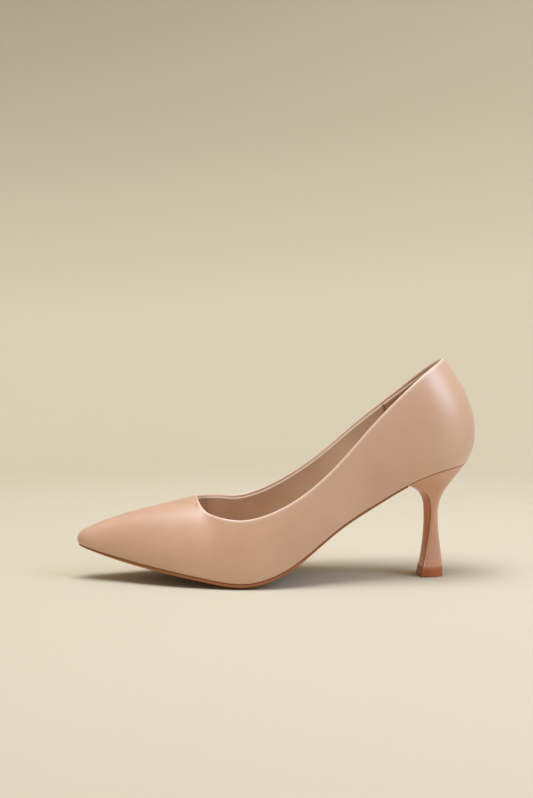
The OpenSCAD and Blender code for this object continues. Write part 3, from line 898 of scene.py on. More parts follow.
@dataclass
class Upper:
    """The whole-cut outer leather: lasted edge, wall, and a topline folded over and down.

    The marks are bells of the given widths: a painted highlight along the topline where the
    folded edge catches the light, painted shade in the crevice where the tucked edge of the fold
    meets the lining, and a dark line along the grooved back seam.
    """

    last: Last
    thick: float = 1.2
    fold: float = 1.85
    fold_depth: float = 8.0
    margin: float = 12.0
    rows: int = 44
    roll_rows: int = 9
    corner: float = 1.2
    settle: float = 5.0
    seam_groove: float = 0.32
    groove_width: float = 0.55
    seam_width: float = 0.5
    highlight_width: float = 0.9
    inner_highlight_width: float = 0.8
    tuck_depth: float = 1.75
    crevice_shade_width: float = 0.35
    row_crowding: float = 1.35
    margin_rise: float = 2.4
    columns: np.ndarray = field(default_factory=lambda: WALL_COLUMNS)

    def _under(self, lift: float, start: float) -> np.ndarray:
        """Return the lasting margin, from its inner edge out to start mm from the feather."""
        r = self.columns
        reach = self.last.reach(r)[:, None]
        d = np.linspace(self.margin, start, 5)[None]
        share = np.minimum(d / reach, 0.76 * d / self.margin + 0.02)
        return self.last.bed(r, share, lift)

    def topline(self) -> tuple[np.ndarray, np.ndarray, np.ndarray]:
        """Return topline points, normals, and the in-surface direction away from the leather.

        That direction is the cross product of the topline's tangent and the surface normal,
        and it is zero on the columns that have no opening above them.
        """
        r = self.columns
        p, n = self.last.wall(r, self.last.top(r)[:, None])
        p, n = p[:, 0], n[:, 0]
        loop = self.open_columns()
        q = p[loop]
        tangent = unit(np.roll(q, -1, axis=0) - np.roll(q, 1, axis=0))
        away = np.zeros_like(p)
        away[loop] = unit(np.cross(tangent, n[loop]))
        below, _ = self.last.wall(r, (self.last.top(r) - 0.02)[:, None])
        side = np.einsum("ij,ij->i", away, p - below[:, 0]).sum()
        throat = np.where(np.abs(from_tip(r) - THROAT) < TOUCH)[0]
        away[throat[1]] = away[throat[0]]
        return p, n, away * np.sign(side)

    def open_columns(self) -> np.ndarray:
        """Return the columns on the topline, in order from the throat round the heel."""
        u = from_tip(self.columns)
        index = np.arange(len(u))
        outer = index[(self.columns <= STATIONS) & (u >= THROAT - TOUCH)]
        inner = index[(self.columns > STATIONS) & (u > THROAT + TOUCH)]
        return np.concatenate([outer, inner])

    def build(self) -> bpy.types.Object:
        """Make the upper as one closed shell.

        Rows run from the lasting margin's edge, round the lasted corner, up the outer face,
        over the fold as a half circle, and down the inner face to the margin again.
        """
        last, r = self.last, self.columns
        top = last.top(r)[:, None]
        foot = last.foot(r)[:, None]
        share = 1 - (1 - np.linspace(0, 1, self.rows)[None]) ** self.row_crowding
        start = foot * self.corner / self.thick
        outer_v = start + (top - start) * share
        outer, _ = last.wall(r, outer_v)
        under = self._under(0.0, self.corner)
        hub, _ = last.wall(r, np.zeros_like(top))
        t = np.linspace(0, 1, 6)[None, 1:-1, None]
        bend = (1 - t) ** 2 * under[:, -1:] + 2 * t * (1 - t) * hub + t * t * outer[:, :1]
        inner_v = foot + (top - foot) * share
        inner_points, inner_n = last.wall(r, inner_v)
        height = np.linalg.norm(inner_points[:, -1:] - inner_points, axis=-1)
        opened = (from_tip(r) > THROAT - 0.6)[:, None]
        extra = (self.fold - self.thick) * ease(1 - height / self.fold_depth) * opened
        depth = (self.thick + extra) * last.thinning(r, inner_v)
        from_back = (r - STATIONS) * STATION_MM
        groove = self.seam_groove * bell(from_back, self.groove_width)[:, None, None]
        _, outer_n = last.wall(r, outer_v)
        inner = inner_points - inner_n * depth[..., None]
        p, n, away = self.topline()
        run = np.linalg.norm(outer[:, -1:] - outer, axis=-1)
        half = depth[:, -1][:, None, None] / 2
        sink = away[:, None] * half
        outer = outer - sink * np.exp(-run / self.settle)[..., None]
        inner = inner - sink * np.exp(-height / self.settle)[..., None]
        angle = np.linspace(0, math.pi, self.roll_rows + 2)[None, 1:-1, None]
        roll = (
            p[:, None]
            - sink
            - n[:, None] * half * (1 - np.cos(angle))
            + away[:, None] * half * np.sin(angle)
        )
        outer = outer - outer_n * groove
        lining_lift = self._under(self.thick, self.margin_rise)
        shell = Shell()
        edged = (from_tip(r) > THROAT - TOUCH)[:, None]
        # Painted highlight along the outer face below the topline, where the fold catches the
        # light.
        rim = bell(run, self.highlight_width) * edged
        seam = bell(from_back, self.seam_width)[:, None] * np.ones_like(run)
        rub = np.exp(-from_tip(r) / 1.2)[:, None] * np.exp(-(outer[..., 2] - 20.0) / 8.0)
        a_under = shell.add(under)
        a_bend = shell.add(bend)
        a_out = shell.add(outer, rim=rim, seam=seam, rub=np.clip(rub, 0, 1))
        # The whole roll of the fold is marked for the painted highlight.
        a_roll = shell.add(roll, rim=np.ones(roll.shape[:2]))
        # Painted shade in the crevice where the fold's tucked edge meets the lining's lip.
        tuck = bell(height - self.tuck_depth, self.crevice_shade_width) * edged
        # Painted highlight on the inner face at the top of the fold.
        inner_rim = bell(height, self.inner_highlight_width) * edged
        a_in = shell.add(inner, rim=inner_rim, seam=tuck)
        a_lift = shell.add(lining_lift)
        twin = vamp_twins(r)
        ridge = twin >= 0
        a_out[ridge, -1] = a_out[twin[ridge], -1]
        a_in[ridge, -1] = a_in[twin[ridge], -1]
        close = [np.vstack([g, g[:1]]) for g in (a_under, a_bend, a_out, a_roll, a_in, a_lift)]
        margin, corner, face, fold, back, lift = close
        shell.quads(np.hstack([margin, corner, face]))
        shell.quads(np.hstack([back[:, ::-1], lift[:, ::-1], margin[:, :1]]))
        on = np.append(from_tip(r) >= THROAT - TOUCH, True)
        on[-1] = on[0]
        band = np.hstack([face[:, -1:], fold, back[:, -1:]])
        throat = np.where(np.abs(from_tip(r) - THROAT) < TOUCH)[0]
        band[throat[1], 1:-1] = band[throat[0], 1:-1]
        cells = np.repeat((on[:-1] & on[1:])[:, None], band.shape[1] - 1, axis=1)
        shell.quads(band, keep=cells)
        return shell.build("upper_leather")


def vamp_twins(columns: np.ndarray) -> np.ndarray:
    """Match inner columns over the vamp with their outer columns, which share the ridge.

    Args:
        columns: ring positions.

    Returns:
        The outer column's number for each inner column at or before the throat, else -1.
    """
    w = columns % RING
    inner = (w > STATIONS) & (from_tip(columns) <= THROAT + TOUCH)
    gap = np.abs((columns[:, None] + columns[None]) % RING)
    gap = np.minimum(gap, RING - gap)
    best = gap.argmin(axis=1)
    return np.where(inner & (gap.min(axis=1) < 1e-5), best, -1)


# --------------------------------------------------------------------------- linings


@dataclass
class Lining:
    """One piece inside the wall: a thin closed sheet with a rounded top edge.

    It runs down to the sole, or only as deep as the deep field says.
    """

    last: Last
    name: str
    columns: np.ndarray
    outer_depth: float = 1.86
    thick: float = 0.75
    drop: float = 2.1
    rows: int = 36
    deep: float = 0.0
    start_seam: float = 0.0
    end_seam: float = 0.0
    seam_width: float = 0.45
    highlight_width: float = 0.35

    def build(self) -> bpy.types.Object:
        """Make the lining: two skins, a round top edge, and closed ends."""
        last, r = self.last, self.columns
        top = last.top(r)[:, None]
        u = from_tip(r)[:, None]
        opened = u >= THROAT - TOUCH
        net = last.net(r)
        tall = np.linalg.norm(net[:, 3] - net[:, 0], axis=-1)[:, None]
        end = np.where(opened, top - self.drop / tall, top)
        foot = end - self.deep / tall if self.deep else last.foot(r)[:, None] * 1.15
        v = foot + (end - foot) * np.linspace(0, 1, self.rows)[None] ** 0.85
        skin = last.layer(r, v, self.outer_depth)
        face = last.layer(r, v, self.outer_depth + self.thick)
        middle = (skin[:, -1:] + face[:, -1:]) / 2
        lean = (skin[:, -1:] - face[:, -1:]) / 2
        _, n = last.wall(r, end)
        rise = unit(skin[:, -1:] - skin[:, -2:-1]) * np.linalg.norm(lean, axis=-1)[..., None]
        angle = np.linspace(0, math.pi, 7)[None, 1:-1, None]
        lip = middle + lean * np.cos(angle) + rise * np.sin(angle)
        shell = Shell()
        run = np.linalg.norm(face[:, -1:] - face, axis=-1)
        # Painted highlight on the face just below the rounded lip.
        rim = bell(run, self.highlight_width) * opened
        a_skin = shell.add(skin)
        # The whole rounded lip is marked for the painted highlight.
        a_lip = shell.add(lip, rim=np.ones(lip.shape[:2]))
        a_face = shell.add(face, rim=rim, seam=self._seam(face))
        twin = vamp_twins(r)
        ridge = twin >= 0
        for grid in (a_skin, a_face):
            grid[ridge, -1] = grid[twin[ridge], -1]
        throat = np.where(np.abs(from_tip(r) - THROAT) < TOUCH)[0]
        if len(throat) == 2:
            a_lip[throat[0]] = a_lip[throat[1]]
        loop = np.hstack([a_skin, a_lip, a_face[:, ::-1], a_skin[:, :1]])
        on = opened[:, 0]
        cells = np.ones((len(r) - 1, loop.shape[1] - 1), bool)
        first, last_row = self.rows - 1, self.rows + a_lip.shape[1]
        cells[~(on[:-1] & on[1:]), first:last_row] = False
        shell.quads(loop, keep=cells)
        for column, flip in ((0, False), (-1, True)):
            pair = np.stack([a_skin[column], a_face[column]], 0)
            shell.quads(pair, flip=flip)
            if on[column]:
                lips = a_lip[column]
                fan = np.stack([lips, np.append(lips[1:], a_face[column, -1])], 0)
                hub = np.full_like(fan[0], a_skin[column, -1])
                tri = np.stack([hub, fan[0], fan[1], fan[1]], -1)
                shell.faces.append(tri if not flip else tri[:, ::-1])
        return shell.build(self.name)

    def _seam(self, face: np.ndarray) -> np.ndarray:
        """Darken each end of the piece as far as its seam there shows."""
        start = np.linalg.norm(face - face[:1], axis=-1)
        finish = np.linalg.norm(face - face[-1:], axis=-1)
        near_start = self.start_seam * bell(start, self.seam_width)
        return np.maximum(near_start, self.end_seam * bell(finish, self.seam_width))


# --------------------------------------------------------------------------- bottom


@dataclass
class Outsole:
    """The cemented sole: dished on top, edge trimmed and rounded, worn flat at the ball."""

    last: Last
    thick: float = 1.9
    gap: float = 0.08
    inset: float = 0.35
    spread: float = 0.35
    across: int = 15
    first_worn: int = 21
    worn_length: float = 38.0
    softness: float = 0.16

    def thickness(self, u: np.ndarray) -> np.ndarray:
        """Return the sole's thickness at stations u.

        It is feathered towards the toe, thinner in the waist and skived at the heel breast.
        """
        toe = 0.4 + 0.6 * ease((u + 0.4) / 4.6)
        waist = 1 - 0.3 * ease((u - 6.6) / 1.4)
        return self.thick * toe * waist * (1 - 0.3 * ease((u - 8.4) / 1.2))

    def build(self) -> bpy.types.Object:
        """Make the sole as a ring of profiles from the tip back to the heel breast.

        Each profile runs from the middle of the top face out to the edge, round it, and back
        to the middle of the underside. The underside is held above the ground by a soft
        maximum: half of z plus sqrt(z^2 + softness), with softness the square of 0.4 mm.
        """
        last = self.last
        side = np.concatenate([np.linspace(0, 1.5, 40)[:-1], np.linspace(1.5, BREAST, 130)])
        r = np.concatenate([RING - side[:0:-1], side])
        reach = last.reach(r)[:, None]
        ins = np.linspace(1, 0, self.across)[None] ** 1.3
        edge_top = self.inset / reach
        share_top = edge_top + (1 - edge_top) * ins
        top = last.bed(r, share_top, -self.gap)
        angle = np.linspace(-0.5 * math.pi, 0.5 * math.pi, 9)[None]
        thick = self.thickness(from_tip(r))[:, None]
        half = thick / 2
        bulge = self.inset + self.spread * (1 - np.cos(angle))
        edge = last.bed(r, bulge / reach, 0.0)
        edge[..., 2] += -self.gap - half - half * np.sin(angle)
        share_low = (self.inset + self.spread) / reach
        share_low = share_low + (1 - share_low) * ins[:, ::-1]
        low = last.bed(r, share_low, -self.gap - thick)
        grid = np.concatenate([top, edge[:, 1:-1], low], axis=1)
        z = grid[..., 2]
        grid[..., 2] = np.where(z < 3, 0.5 * (z + np.sqrt(z * z + self.softness)), z)
        shell = Shell()
        rows = grid.shape[1]
        rim = np.zeros(rows)
        rim[self.across - 1 : 1 - self.across] = 1.0
        below = (np.arange(rows) >= self.first_worn)[None]
        worn = bell(grid[..., 0] - BALL_X, self.worn_length) * below
        index = shell.add(grid, rim=np.broadcast_to(rim, grid.shape[:2]), rub=worn)
        for row in (0, -1):
            join_middle(index, row, r, last)
        shell.quads(index)
        half_rows = rows // 2 + 1
        for column, flip in ((0, True), (-1, False)):
            line = index[column]
            shell.quads(np.stack([line[:half_rows], line[::-1][:half_rows]], 0), flip=flip)
        return shell.build("outsole_sheet", crease=60)


def join_middle(index: np.ndarray, row: int, r: np.ndarray, last: Last) -> None:
    """Weld one row of a bottom sheet along the middle line, and close both poles.

    Args:
        index: point numbers, a column for each ring position; changed in place.
        row: the row that lies on the middle line.
        r: ring positions of the columns.
        last: the last, for the stations at which the middle line ends.
    """
    held = np.clip(from_tip(r), last.tip_pole, last.heel_pole)
    _, first, back = np.unique(np.round(held, 6), return_index=True, return_inverse=True)
    index[:, row] = index[first[back], row]


@dataclass
class SockLining:
    """The soft insock: it covers the foam and the heel pad, and meets the lining all round."""

    last: Last
    base: float = 3.7
    sock: float = 0.7
    pad: float = 1.6
    lining_face: float = 2.62
    tuck: float = 0.15
    worn_length: float = 30.0

    def rise(self, u: np.ndarray) -> np.ndarray:
        """Return the height that the heel pad adds at stations u."""
        return self.pad * ease((u - 8.9) / 1.3)

    def build(self) -> bpy.types.Object:
        """Make the sock as a closed sheet whose edge reaches the inner face of the lining.

        For each ring position the lining's inner face is sampled, and the edge is put where
        it is as high as the sock.
        """
        last = self.last
        side = np.concatenate(
            [
                np.linspace(0.55, 2.0, 24)[:-1],
                np.linspace(2, 10.6, 120)[:-1],
                np.linspace(10.6, 12, 40),
            ]
        )
        r = np.concatenate([side, RING - side[-2::-1]])
        u = from_tip(r)
        lift = (self.base + self.sock + self.rise(u))[:, None]
        v = np.linspace(0.02, 0.5, 60)[None] * np.ones((len(r), 1))
        face = last.layer(r, v, self.lining_face)
        edge = last.bed(r, np.zeros((len(r), 1)), 0.0)[:, 0]
        target = edge[:, 2] + lift[:, 0] - self.tuck
        pick = np.abs(face[..., 2] - target[:, None]).argmin(axis=1)
        hit = face[np.arange(len(r)), pick]
        middle = last.spine(u)
        way = unit((middle - edge)[:, :2])
        inset = np.einsum("ij,ij->i", hit[:, :2] - edge[:, :2], way)
        reach = last.reach(r)
        first = np.clip((inset + self.tuck) / reach, 0.02, 0.9)[:, None]
        t = np.linspace(0, 1, 22)[None] ** 1.4
        share = first + (1 - first) * t
        run = (share - first) * reach[:, None]
        puff = 0.35 * (1 - np.exp(-run / 2.5)) + 0.5 * (1 - np.exp(-run / 9.0))
        top = last.bed(r, share, lift)
        top[..., 2] += puff - 0.5
        low = last.bed(r, share, lift)
        low[..., 2] -= self.sock
        grid = np.concatenate([top[:, ::-1], low], axis=1)
        shell = Shell()
        seam = np.exp(-run / 0.5)
        marks = np.concatenate([seam[:, ::-1], np.zeros_like(seam)], axis=1)
        rub = bell(grid[..., 0] - BALL_X, self.worn_length) * 0.8
        index = shell.add(grid, seam=marks, rub=rub)
        for row in (0, -1):
            join_middle(index, row, r, last)
        shell.quads(np.vstack([index, index[:1]]))
        return shell.build("sock_lining_soft", crease=60)


@dataclass
class Cushion:
    """A foam pad under the sock: flat below, crowned above, its edge shaved to nothing."""

    last: Last
    name: str
    ring: np.ndarray
    inset: float
    base: float
    deep: np.ndarray
    shaved: float = 4.0
    rows: int = 16

    def build(self) -> bpy.types.Object:
        """Make the pad as a closed form.

        Over the shaved width the top rises from the edge as a quarter circle does,
        sqrt(1 - (1 - x)^2), to the pad's full depth.
        """
        last, r = self.last, self.ring
        reach = last.reach(r)[:, None]
        first = self.inset / reach
        share = first + (1 - first) * np.linspace(1, 0, self.rows)[None] ** 1.3
        run = np.clip((share - first) * reach / self.shaved, 0, 1)
        crown = self.deep[:, None] * np.sqrt(1 - (1 - run) ** 2)
        top = last.bed(r, share, self.base + crown)
        low = last.bed(r, share, self.base + 0 * crown)[:, -2::-1]
        shell = Shell()
        index = shell.add(np.concatenate([top, low], axis=1))
        for row in (0, -1):
            join_middle(index, row, r, last)
        shell.quads(index)
        for column, flip in ((0, True), (-1, False)):
            line = index[column]
            halves = np.stack([line[: self.rows], line[::-1][: self.rows]], 0)
            shell.quads(halves, flip=flip)
        return shell.build(self.name, crease=60)


def cushions(last: Last) -> list[tuple[Cushion, str]]:
    """List the foam under the ball of the foot and the heel pad, with their CAD nodes."""
    foam_front, foam_back, pad_front = 1.2, 6.68, 9.4
    ball = np.linspace(foam_front, foam_back, 90)
    ball = np.concatenate([RING - ball[::-1], ball])
    seat = np.linspace(pad_front, STATIONS, 50)
    seat = np.concatenate([seat, RING - seat[-2::-1]])
    sock = SockLining(last)
    foam = Cushion(
        last, "forefoot_foam", ball, inset=4.2, base=2.5, deep=np.full(len(ball), 1.1)
    )
    pad = Cushion(
        last, "heel_foam", seat, inset=7.0, base=sock.base, deep=sock.rise(from_tip(seat)) - 0.05
    )
    return [(foam, "forefoot_cushion"), (pad, "heel_cushion")]


# --------------------------------------------------------------------------- heel


@dataclass
class Heel:
    """The flared heel: a front line, a back line and a half width, from top piece to seat."""

    last: Last
    front_x: tuple = (88.1, 89.9, 91.5, 92.7, 93.2, 92.2, 89, 83, 76.2)
    front_z: tuple = (0, 8.5, 17.5, 26.5, 34.5, 40.8, 45.6, 48.6, 51)
    back_x: tuple = (101.3, 100.2, 99.1, 98.4, 98.7, 100.8, 105, 110.2, 115.3)
    back_z: tuple = (0, 9, 18, 27, 36, 43.5, 50.2, 56.9, 63.7)
    half: tuple = (7.6, 6.8, 6.1, 5.6, 5.7, 7, 10.5, 16, 22.2)
    bow: tuple = (0.8, 1.6, 2.3, 3, 3.6, 3.4, 2.9, 1.6, 0.6)
    tip: float = 6.0
    square: float = 0.72
    cover: float = 0.7
    gap: float = 0.1
    levels: int = 90
    wall_mm: float = 60.0
    seat_edge: float = 0.25
    seat_seam: float = 0.7
    foot_rim: float = 0.5
    front_highlight_width: float = 0.5
    rake: float = 0.9
    rake_run: float = 13.3
    foot_z: tuple = (6.0, 6.0, 5.85, 4.0, 2.0, 0.5, 0.15, 0.0, 0.0)
    foot_spread: tuple = (-0.5, -0.05, 0.08, 0.12, 0.2, 0.3, 0.18, -0.1, -0.6)

    def __post_init__(self) -> None:
        """Spline the six lines over nine levels."""
        rows = (self.front_x, self.front_z, self.back_x, self.back_z, self.half, self.bow)
        self._lines = [open_spline(row, False) for row in rows]

    def line(self, which: int, level: np.ndarray) -> np.ndarray:
        """Return one of the six lines at levels 0 (top piece) to 1 (seat)."""
        return spline_at(self._lines[which], 8 + 8 * np.asarray(level, float))

    def section(self, a: np.ndarray, level: np.ndarray, side: np.ndarray, inset) -> np.ndarray:
        """Return points of the D-shaped section.

        Along a side, X runs as a power of sin and Y as the same power of cos of a quarter
        turn times a, so the front is flat, the sides are nearly so, and the back is round.
        """
        front, back = self.line(0, level) + inset, self.line(2, level) - inset
        power = self.square + (1 - self.square) * ease((level - 0.55) / 0.4)
        x = np.sin(0.5 * math.pi * a) ** power
        y = np.maximum(np.cos(0.5 * math.pi * a), 0) ** power
        low, high = self.line(1, level), self.line(3, level)
        return np.stack(
            [
                front + (back - front) * x,
                side * (self.line(4, level) - inset) * y,
                self.tip + self.gap + low + (high - low) * x,
            ],
            -1,
        )

    def side_wall(self, r: np.ndarray, level: np.ndarray, inset) -> np.ndarray:
        """Return the outer surface at ring positions r, bent so its top meets the seat edge.

        The plain section is moved by level cubed times the gap between it and the seat.
        """
        u = from_tip(r)
        a = (np.clip((u - BREAST) / (STATIONS - BREAST), 0, 1))[:, None]
        side = np.where(np.asarray(r) % RING <= STATIONS, -1.0, 1.0)[:, None]
        share = (self.seat_edge + inset) / self.last.reach(r)[:, None] * np.ones_like(level)
        seat = self.last.bed(r, share, -self.gap)
        top = self.section(a, np.ones_like(level), side, inset)
        return self.section(a, level, side, inset) + level[..., None] ** 3 * (seat - top)

    def breast_wall(
        self, t: np.ndarray, level: np.ndarray, inset: float, sink: float
    ) -> np.ndarray:
        """Return the front face at t from -1 (outer) to 1 (inner), bowed forwards in the middle."""
        t = t[:, None]
        r = np.where(t[:, 0] < 0, BREAST, RING - BREAST)
        edge = (self.seat_edge + inset) / self.last.reach(r)[:, None]
        share = edge + (1 - edge) * (1 - np.abs(t))
        seat = self.last.bed(r, share * np.ones_like(level), -self.gap)
        seat[..., 0] += sink

        def flat(lv: np.ndarray) -> np.ndarray:
            """Return the unbent front face at a level."""
            x = self.line(0, lv) + sink - self.line(5, lv) * (1 - t * t)
            y = (self.line(4, lv) - inset) * t
            z = self.tip + self.gap + self.line(1, lv) + 0 * x
            return np.stack([x, y * np.ones_like(x), z], -1)

        return flat(level) + level[..., None] ** 3 * (seat - flat(np.ones_like(level)))

    def build_cover(self) -> bpy.types.Object:
        """Make the leather that wraps the back and sides, its front edges turned in."""
        a = np.linspace(0, 1, 90)
        side = BREAST + (STATIONS - BREAST) * (1.35 * a - 0.35 * a * a)
        r = np.concatenate([side, RING - side[-2::-1]])
        lv = np.linspace(0, 1, self.levels)[None] * np.ones((len(r), 1))
        near_top = bell((1 - lv) * self.wall_mm, self.seat_seam)
        near_low = bell(lv * self.wall_mm, self.foot_rim)
        outer = self.side_wall(r, lv, 0.14 * near_top + 0.12 * near_low)
        inner = self.side_wall(r, lv, self.cover)
        edge = np.minimum(np.arange(len(r)), np.arange(len(r))[::-1])
        turn = bell(edge, 2.2)[:, None, None]
        outer = outer + (inner - outer) * 0.35 * turn
        shell = Shell()
        arc = np.linalg.norm(outer - outer[:1], axis=-1)
        arc = np.minimum(arc, np.linalg.norm(outer - outer[-1:], axis=-1))
        # Painted highlight along the turned-in front edges, where they catch the light.
        rim = bell(arc, self.front_highlight_width)
        # The seam mark along the top is painted shade in the joint where the cover meets the upper.
        a_out = shell.add(outer, rim=rim, seam=0.45 * near_top, rub=near_low)
        a_in = shell.add(inner)
        shell.quads(np.hstack([a_out, a_in[:, ::-1], a_out[:, :1]]))
        for column, flip in ((0, False), (-1, True)):
            shell.quads(np.stack([a_out[column], a_in[column]], 0), flip=flip)
        return shell.build("heel_cover_leather")

    def build_breast(self) -> bpy.types.Object:
        """Make the leather flap on the front face of the heel."""
        t = np.linspace(-1, 1, 60)
        lv = np.linspace(0, 1, self.levels)[None] * np.ones((len(t), 1))
        outer = self.breast_wall(t, lv, self.cover * 0.35, 0.12)
        inner = self.breast_wall(t, lv, self.cover + 0.05, self.cover)
        shell = Shell()
        seam = bell(1 - np.abs(t), 0.125)[:, None] * np.ones_like(lv)
        a_out = shell.add(outer, seam=seam * 0.6, rub=np.exp(-lv * 8))
        a_in = shell.add(inner)
        shell.quads(np.hstack([a_out, a_in[:, ::-1], a_out[:, :1]]))
        for column, flip in ((0, False), (-1, True)):
            shell.quads(np.stack([a_out[column], a_in[column]], 0), flip=flip)
        return shell.build("heel_breast_leather")

    def build_top_piece(self) -> bpy.types.Object:
        """Make the wear piece: the heel's foot section, spread a little towards the ground.

        Each loop stands at one of the foot heights, and its front is raked forwards by a
        share that grows towards the ground.
        """
        a = np.concatenate([np.linspace(0, 1, 40), np.linspace(1, 0, 40)[1:]])
        side = np.concatenate([-np.ones(40), np.ones(39)])
        front = np.linspace(1, -1, 24)[1:-1]
        zero = np.zeros_like(a)[:, None]
        rows = []
        for z, spread in zip(self.foot_z, self.foot_spread):
            ring = self.section(a[:, None], zero, side[:, None], -spread)[:, 0]
            face = np.stack(
                [ring[0, 0] - self.bow[0] * (1 - front**2), front * ring[-1, 1], 0 * front],
                -1,
            )
            loop = np.concatenate([ring, face])
            from_rear = (self.back_x[0] - loop[:, 0]) / self.rake_run
            loop[:, 0] -= self.rake * (1 - z / self.tip) * from_rear
            loop[:, 2] = z
            rows.append(loop)
        grid = np.stack(rows, 1)
        middle = grid.mean(axis=0)
        top, low = grid[:, :1] * 1.0, grid[:, -1:] * 1.0
        fan = np.linspace(0, 1, 6)[None, :-1, None]
        cap_top = middle[None, :1] + (top - middle[None, :1]) * fan
        cap_low = (middle[None, -1:] + (low - middle[None, -1:]) * fan)[:, ::-1]
        full = np.concatenate([cap_top, grid, cap_low], axis=1)
        shell = Shell()
        rim = bell(full[..., 2] - (self.tip - 0.1), self.foot_rim)
        index = shell.add(full, rim=rim, rub=(full[..., 2] < 0.6) * 0.9)
        index[:, 0] = index[0, 0]
        index[:, -1] = index[0, -1]
        shell.quads(np.vstack([index, index[:1]]))
        return shell.build("top_piece_wear", crease=45)


# --------------------------------------------------------------------------- stage


@dataclass(frozen=True)
class Lamp:
    """A square soft light that faces a point, with its size in metres and power in watts."""

    name: str
    at: tuple
    target: tuple
    size: float
    power: float
    tint: tuple

    def build(self) -> None:
        """Add the light to the scene, unseen by the camera."""
        data = bpy.data.lights.new(self.name, "AREA")
        data.size, data.energy, data.color = self.size, self.power, self.tint
        lamp = bpy.data.objects.new(self.name, data)
        lamp.location = self.at
        way = Vector(self.target) - Vector(self.at)
        lamp.rotation_euler = way.to_track_quat("-Z", "Y").to_euler()
        lamp.visible_camera = False
        bpy.context.scene.collection.objects.link(lamp)


LAMPS = (
    Lamp("overhead", (-0.25, -0.15, 1.25), (0.0, 0.0, 0.0), 0.7, 7.3, (0.82, 0.91, 1.0)),
    Lamp("front", (-0.65, -0.90, 0.80), (0.0, 0.0, 0.05), 0.6, 1.0, (0.92, 0.96, 1.0)),
    Lamp("window", (0.80, -0.40, 0.66), (0.08, 0.0, 0.09), 0.62, 6.2, (0.60, 0.78, 1.0)),
    Lamp("backdrop", (0.0, -0.10, 1.45), (0.1, 1.15, 0.30), 0.8, 15.0, (0.96, 0.99, 1.0)),
)


@dataclass
class Studio:
    """A pale sweep, a camera low at the outer side, soft lights and a warm sky."""

    camera_at: tuple = (-0.0385, -0.6048, 0.135)
    heading: float = 3.0
    pitch: float = 2.5
    lens: float = 45.11
    floor: float = 0.60
    curve: float = 0.55
    wall: float = 1.5
    sky_tint: tuple = (1.0, 0.79, 0.56, 1)
    sky_strength: float = 0.41

    def build(self) -> None:
        """Make the sweep, camera, lights and sky."""
        self._sweep()
        data = bpy.data.cameras.new("camera")
        data.lens, data.sensor_width = self.lens, 36.0
        data.clip_start, data.clip_end = 0.01, 20.0
        camera = bpy.data.objects.new("camera", data)
        camera.location = self.camera_at
        camera.rotation_euler = (math.radians(90 - self.pitch), 0.0, -math.radians(self.heading))
        bpy.context.scene.collection.objects.link(camera)
        bpy.context.scene.camera = camera
        for lamp in LAMPS:
            lamp.build()
        world = bpy.data.worlds.new("sky")
        world.use_nodes = True
        sky = world.node_tree.nodes["Background"]
        sky.inputs[0].default_value = self.sky_tint
        sky.inputs[1].default_value = self.sky_strength
        bpy.context.scene.world = world
        bpy.context.scene.view_settings.view_transform = "Standard"

    def _sweep(self) -> None:
        """Make the floor and wall as one round dish: a disc, a quarter circle and a cylinder."""
        angle = np.linspace(0, 0.5 * math.pi, 24)
        out = np.concatenate([[0.0, 0.5 * self.floor], self.floor + self.curve * np.sin(angle)])
        out = np.append(out, out[-1])
        z = np.concatenate([[0.0, 0.0], self.curve * (1 - np.cos(angle)), [self.wall]])
        turn = np.linspace(0, 2 * math.pi, 97)[:-1]
        shell = Shell()
        grid = np.stack(
            np.broadcast_arrays(
                out[None] * np.cos(turn)[:, None], out[None] * np.sin(turn)[:, None], z[None]
            ),
            -1,
        )
        index = shell.add(grid / MM)
        index[:, 0] = index[0, 0]
        shell.quads(np.vstack([index, index[:1]]), flip=True)
        obj = shell.build("sweep", crease=80)
        obj.data.flip_normals()
        obj.data.materials.append(self._paper())

    def _paper(self) -> bpy.types.Material:
        """Pale paper with painted shade that deepens a little up the wall and towards -X, standing
        in for light falling off; its underside is clear.
        """
        mat, n, shader, place = start_material("pale_paper")
        at = n.add("ShaderNodeSeparateXYZ", {0: place}).outputs
        # Painted shade: the paper darkens with height and towards -X.
        rise = n.math("DIVIDE", at["Z"], 0.85, clamp=True)
        side = n.math("MULTIPLY", at["X"], -0.35)
        painted_falloff = n.math("ADD", rise, n.math("MULTIPLY", rise, side), clamp=True)
        tone = n.mix(n.ramp(painted_falloff, [(0.25, 0.0), (1.0, 0.75)]), rgba("c9beab"), rgba("857d6b"))
        n.feed(shader, {"Base Color": tone, "Roughness": 0.9, "Specular IOR Level": 0.2})
        clear = n.add("ShaderNodeBsdfTransparent").outputs[0]
        back = n.add("ShaderNodeNewGeometry").outputs["Backfacing"]
        sink = next(node for node in n.tree.nodes if node.bl_idname == "ShaderNodeOutputMaterial")
        choice = n.add("ShaderNodeMixShader", {0: back, 1: shader.outputs[0], 2: clear})
        n.tree.links.new(choice.outputs[0], sink.inputs[0])
        return mat


# --------------------------------------------------------------------------- assembly


HIDDEN = {
    "toe_puff": "stiffener_sheet",
    "heel_counter": "stiffener_sheet",
    "vamp_backing": "backing_cloth",
    "outer_quarter_backing": "backing_cloth",
    "inner_quarter_backing": "backing_cloth",
    "insole_board": "board_stock",
    "shank_board": "board_stock",
    "bottom_filler": "felt_stock",
    "steel_shank": "plain_steel",
    "shank_rivet_front": "plain_steel",
    "shank_rivet_rear": "plain_steel",
    "heel_tube": "plain_steel",
    "seat_screw": "plain_steel",
    "seat_nails": "plain_steel",
    "top_piece_pin": "plain_steel",
    "heel_block": "moulded_plastic",
}


def take(piece: bpy.types.Object, finish: str, slot: str, wardrobe: Wardrobe, *nodes: str) -> None:
    """Dress a finished piece, ride it on the shoe, and put it in place of CAD nodes."""
    wardrobe.dress(piece, finish)
    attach(piece, "root")
    if nodes:
        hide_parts(*nodes)
    LOG.info("%s: %d faces", piece.name, len(piece.data.polygons))


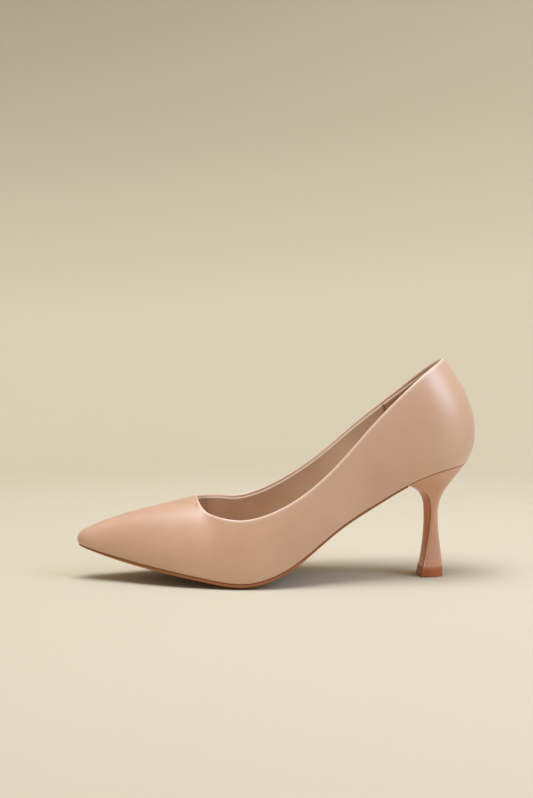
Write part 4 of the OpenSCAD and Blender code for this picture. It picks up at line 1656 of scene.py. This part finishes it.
def linings(last: Last) -> list[tuple[Lining, str, str, str]]:
    """List the topline tape and the four lining pieces with their finish, slot and CAD node."""
    whole = WALL_COLUMNS
    u = from_tip(whole)
    front, rear = float(station(3 / 28)), float(BREAST)
    outer = whole <= STATIONS
    toe = u < front - 0.01
    head = np.concatenate([whole[~outer & toe] - RING, whole[outer & toe]])
    head = np.sort(np.concatenate([head, [-front, front]]))
    between = u[outer & (u > front + 0.02) & (u < rear - 0.03)]
    mid = np.sort(np.concatenate([[front + 0.004, rear - 0.015], between]))
    tail = np.sort(np.concatenate([[rear, RING - rear], whole[u > rear + 0.01]]))
    rim = whole[u > THROAT + 0.004]
    return [
        (
            Lining(last, "topline_tape_sheet", rim, 1.27, 0.5, 1.0, rows=8, deep=5.0),
            "tape_cloth", "tape", "topline_tape",
        ),
        (
            Lining(last, "vamp_lining_sheet", head, start_seam=0.15, end_seam=0.15),
            "lining_leather", "lining", "vamp_lining",
        ),
        (
            Lining(last, "outer_quarter_lining_sheet", mid, start_seam=0.15, end_seam=1.0),
            "lining_leather", "lining", "outer_quarter_lining",
        ),
        (
            Lining(
                last, "inner_quarter_lining_sheet", RING - mid[::-1], start_seam=1.0, end_seam=0.15
            ),
            "lining_leather", "lining", "inner_quarter_lining",
        ),
        (
            Lining(last, "heel_grip_sheet", tail, start_seam=0.8, end_seam=0.8),
            "grip_leather", "grip", "heel_grip",
        ),
    ]


def main() -> None:
    """Build the stage, then each sub-assembly of the shoe in the order it is made."""
    logging.basicConfig(level=logging.INFO, format="%(name)s %(message)s")
    Studio().build()
    wardrobe = Wardrobe()
    last = Last()
    take(Upper(last).build(), "nude_leather", "upper_leather", wardrobe, "upper")
    for lining, finish, slot, node in linings(last):
        take(lining.build(), finish, slot, wardrobe, node)
    take(SockLining(last).build(), "sock_leather", "sock", wardrobe, "sock_lining")
    for cushion, node in cushions(last):
        foam = cushion.build()
        take(foam, "latex_foam", "foam", wardrobe, node)
    take(Outsole(last).build(), "sole_stock", "sole", wardrobe, "outsole")
    heel = Heel(last)
    take(heel.build_cover(), "heel_leather", "heel_leather", wardrobe, "heel_cover")
    take(heel.build_breast(), "breast_leather", "breast_leather", wardrobe, "heel_breast_cover")
    take(heel.build_top_piece(), "top_piece_rubber", "top_piece", wardrobe, "top_piece")
    for node, finish in HIDDEN.items():
        wardrobe.dress(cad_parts[node], finish)
        LOG.info("%s: kept from the solid model", node)


if __name__ == "__main__":
    main()
